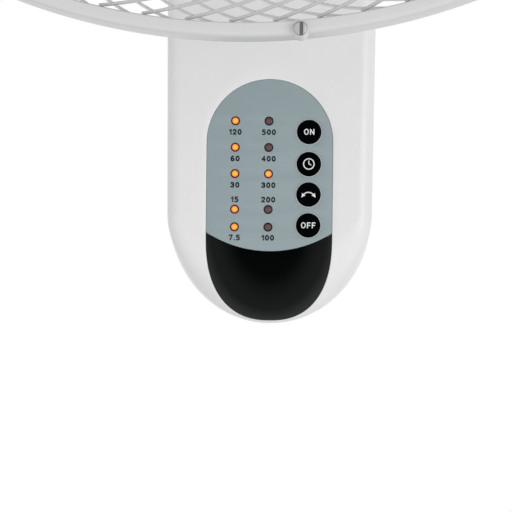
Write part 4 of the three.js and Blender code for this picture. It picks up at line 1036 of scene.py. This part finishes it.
# ---------------------------------------------------------------- neck
def neck_line(t):
    """The neck's bent middle line, from the tilt bolt to the collar of the pivot pin."""
    a, b, c, d = (Vector((0, y, z)) for y, z in ((0, 0), (-35.5, -2), (PIN_Y, -3), (PIN_Y, 26)))
    return a * (1 - t) ** 3 + b * 3 * t * (1 - t) ** 2 + c * 3 * t * t * (1 - t) + d * t ** 3


def neck():
    points, steps, sides = [], 30, 36
    across = Vector((1, 0, 0))
    for i in range(steps + 1):
        t = i / steps
        here = neck_line(t)
        along = (neck_line(min(1, t + 0.01)) - neck_line(max(0, t - 0.01))).normalized()
        up = across.cross(along)
        wide = 8 + 5 * max(0, 2 * t - 1)
        for k in range(sides):
            a = 2 * math.pi * k / sides
            points.append(here + across * wide * math.cos(a) + up * 9 * math.sin(a))
    faces = grid_faces(steps + 1, sides)
    faces += [list(range(sides)), [steps * sides + k for k in range(sides - 1, -1, -1)]]
    obj = raw("neck_tube", points, faces, NECK)
    lug = fillet([(0, -8, 0), (12.5, -8, 1.2), (12.5, 8, 1.2), (0, 8, 0)], 1)
    collar = fillet([(0, 8, 0), (11, 8, 1.5), (14, 12, 2), (14, 32, 1.5), (12, 34, 1), (0, 34, 0)], 1)
    pin_hole = [(0, 14), (5.3, 14), (5.3, 40), (0, 40)]
    bolt_hole = [(0, -30), (4.3, -30), (4.3, 30), (0, 30)]
    at_pin = (0, PIN_Y, 0)
    carve(obj, [turned_tool(lug, 64, NECK, "X")], "UNION")
    carve(obj, [turned_tool(collar, 64, NECK, "Z", at_pin)], "UNION")
    carve(obj, [turned_tool(pin_hole, 32, NECK, "Z", at_pin)])
    carve(obj, [turned_tool(bolt_hole, 32, NECK, "X")])
    dress(obj, WHITE, "neck", ["neck"], "white_plastic", width=0.5)


neck()

# ---------------------------------------------------------------- CAD nodes
# All get their surface; those that aren't replaced get softened edges, by modifiers only.
replaced = {
    "front_cover", "rear_cover", "fascia_panel", "remote_lens", "rear_guard", "front_guard", "guard_ring",
    "ring_screw", "centre_cap", "guard_nut", "motor_cover", "impeller", "spinner_nut", "neck", *KEY_NAMES,
    *(f"led_{side}_{row}" for side in ("left", "right") for row in range(1, 6)),
}
slot_of = {entry["node"]: entry["material_slot"] for entry in record["subparts"]}
for name, obj in nodes.items():
    material = SLOTS[slot_of[name]]
    if obj.material_slots:
        for entry in obj.material_slots:
            entry.material = material
    else:
        obj.data.materials.append(material)
    if name in replaced:
        continue
    weld = obj.modifiers.new("weld", "WELD")
    weld.merge_threshold = 1e-5
    soften = obj.modifiers.new("edges", "BEVEL")
    soften.width = 0.0004
    soften.segments = 2
    soften.limit_method = "ANGLE"
    soften.angle_limit = RAD(35)
    soften.harden_normals = False

# ---------------------------------------------------------------- floor, light, camera
def floor():
    mesh = bpy.data.meshes.new("floor")
    level = -1.2
    corners = [(-3, -3, level), (3, -3, level), (3, 2.2, level), (-3, 2.2, level)]
    mesh.from_pydata(corners, [], [[0, 1, 2, 3]])
    obj = add_object("floor", mesh)
    paint = surface("floor_paint", (0.86, 0.86, 0.86), 0.6, spread=0.01, mottle=3, grain=200, bump=0.02)
    mesh.materials.append(paint)


def larger(tree, one, other):
    node = tree.nodes.new("ShaderNodeMath")
    node.operation = "MAXIMUM"
    tree.links.new(one, node.inputs[0])
    tree.links.new(other, node.inputs[1])
    return node.outputs["Value"]


def backdrop():
    """Plain white to the camera, in reflections and through glass, and dimmer as light."""
    world = bpy.data.worlds.new("studio")
    bpy.context.scene.world = world
    world.use_nodes = True
    tree = world.node_tree
    background = tree.nodes["Background"]
    background.inputs["Color"].default_value = (1, 1, 1, 1)
    rays = tree.nodes.new("ShaderNodeLightPath").outputs
    through = larger(tree, rays["Is Glossy Ray"], rays["Is Transmission Ray"])
    seen = larger(tree, rays["Is Camera Ray"], through)
    level = tree.nodes.new("ShaderNodeMapRange")
    level.inputs["To Min"].default_value = 0.70
    level.inputs["To Max"].default_value = 1.0
    tree.links.new(seen, level.inputs["Value"])
    tree.links.new(level.outputs["Result"], background.inputs["Strength"])


floor()
backdrop()


def lamp(name, place, aim, size, power):
    light = bpy.data.lights.new(name, "AREA")
    light.shape = "RECTANGLE"
    light.size, light.size_y = size
    light.energy = power
    obj = add_object(name, light)
    obj.location = place
    obj.rotation_euler = (Vector(aim) - Vector(place)).to_track_quat("-Z", "Y").to_euler()


lamp("key_light", (1.4, -1.8, -0.2), (0, 0, 0), (1.4, 1.6), 13.5)
lamp("fill_light", (-0.3, -1.1, -0.85), (0, -0.2, 0), (1.6, 0.8), 2.4)

camera = bpy.data.cameras.new("camera")                # fitted to the outlines in the photo
camera.lens = 106.24
camera.sensor_width = 36
camera_object = add_object("camera", camera)
camera_object.location = (0.0180, -0.8000, -0.0982)
camera_object.rotation_euler = (RAD(90.1), RAD(-0.626), RAD(1.908))
bpy.context.scene.camera = camera_object
bpy.context.scene.view_settings.view_transform = "Standard"
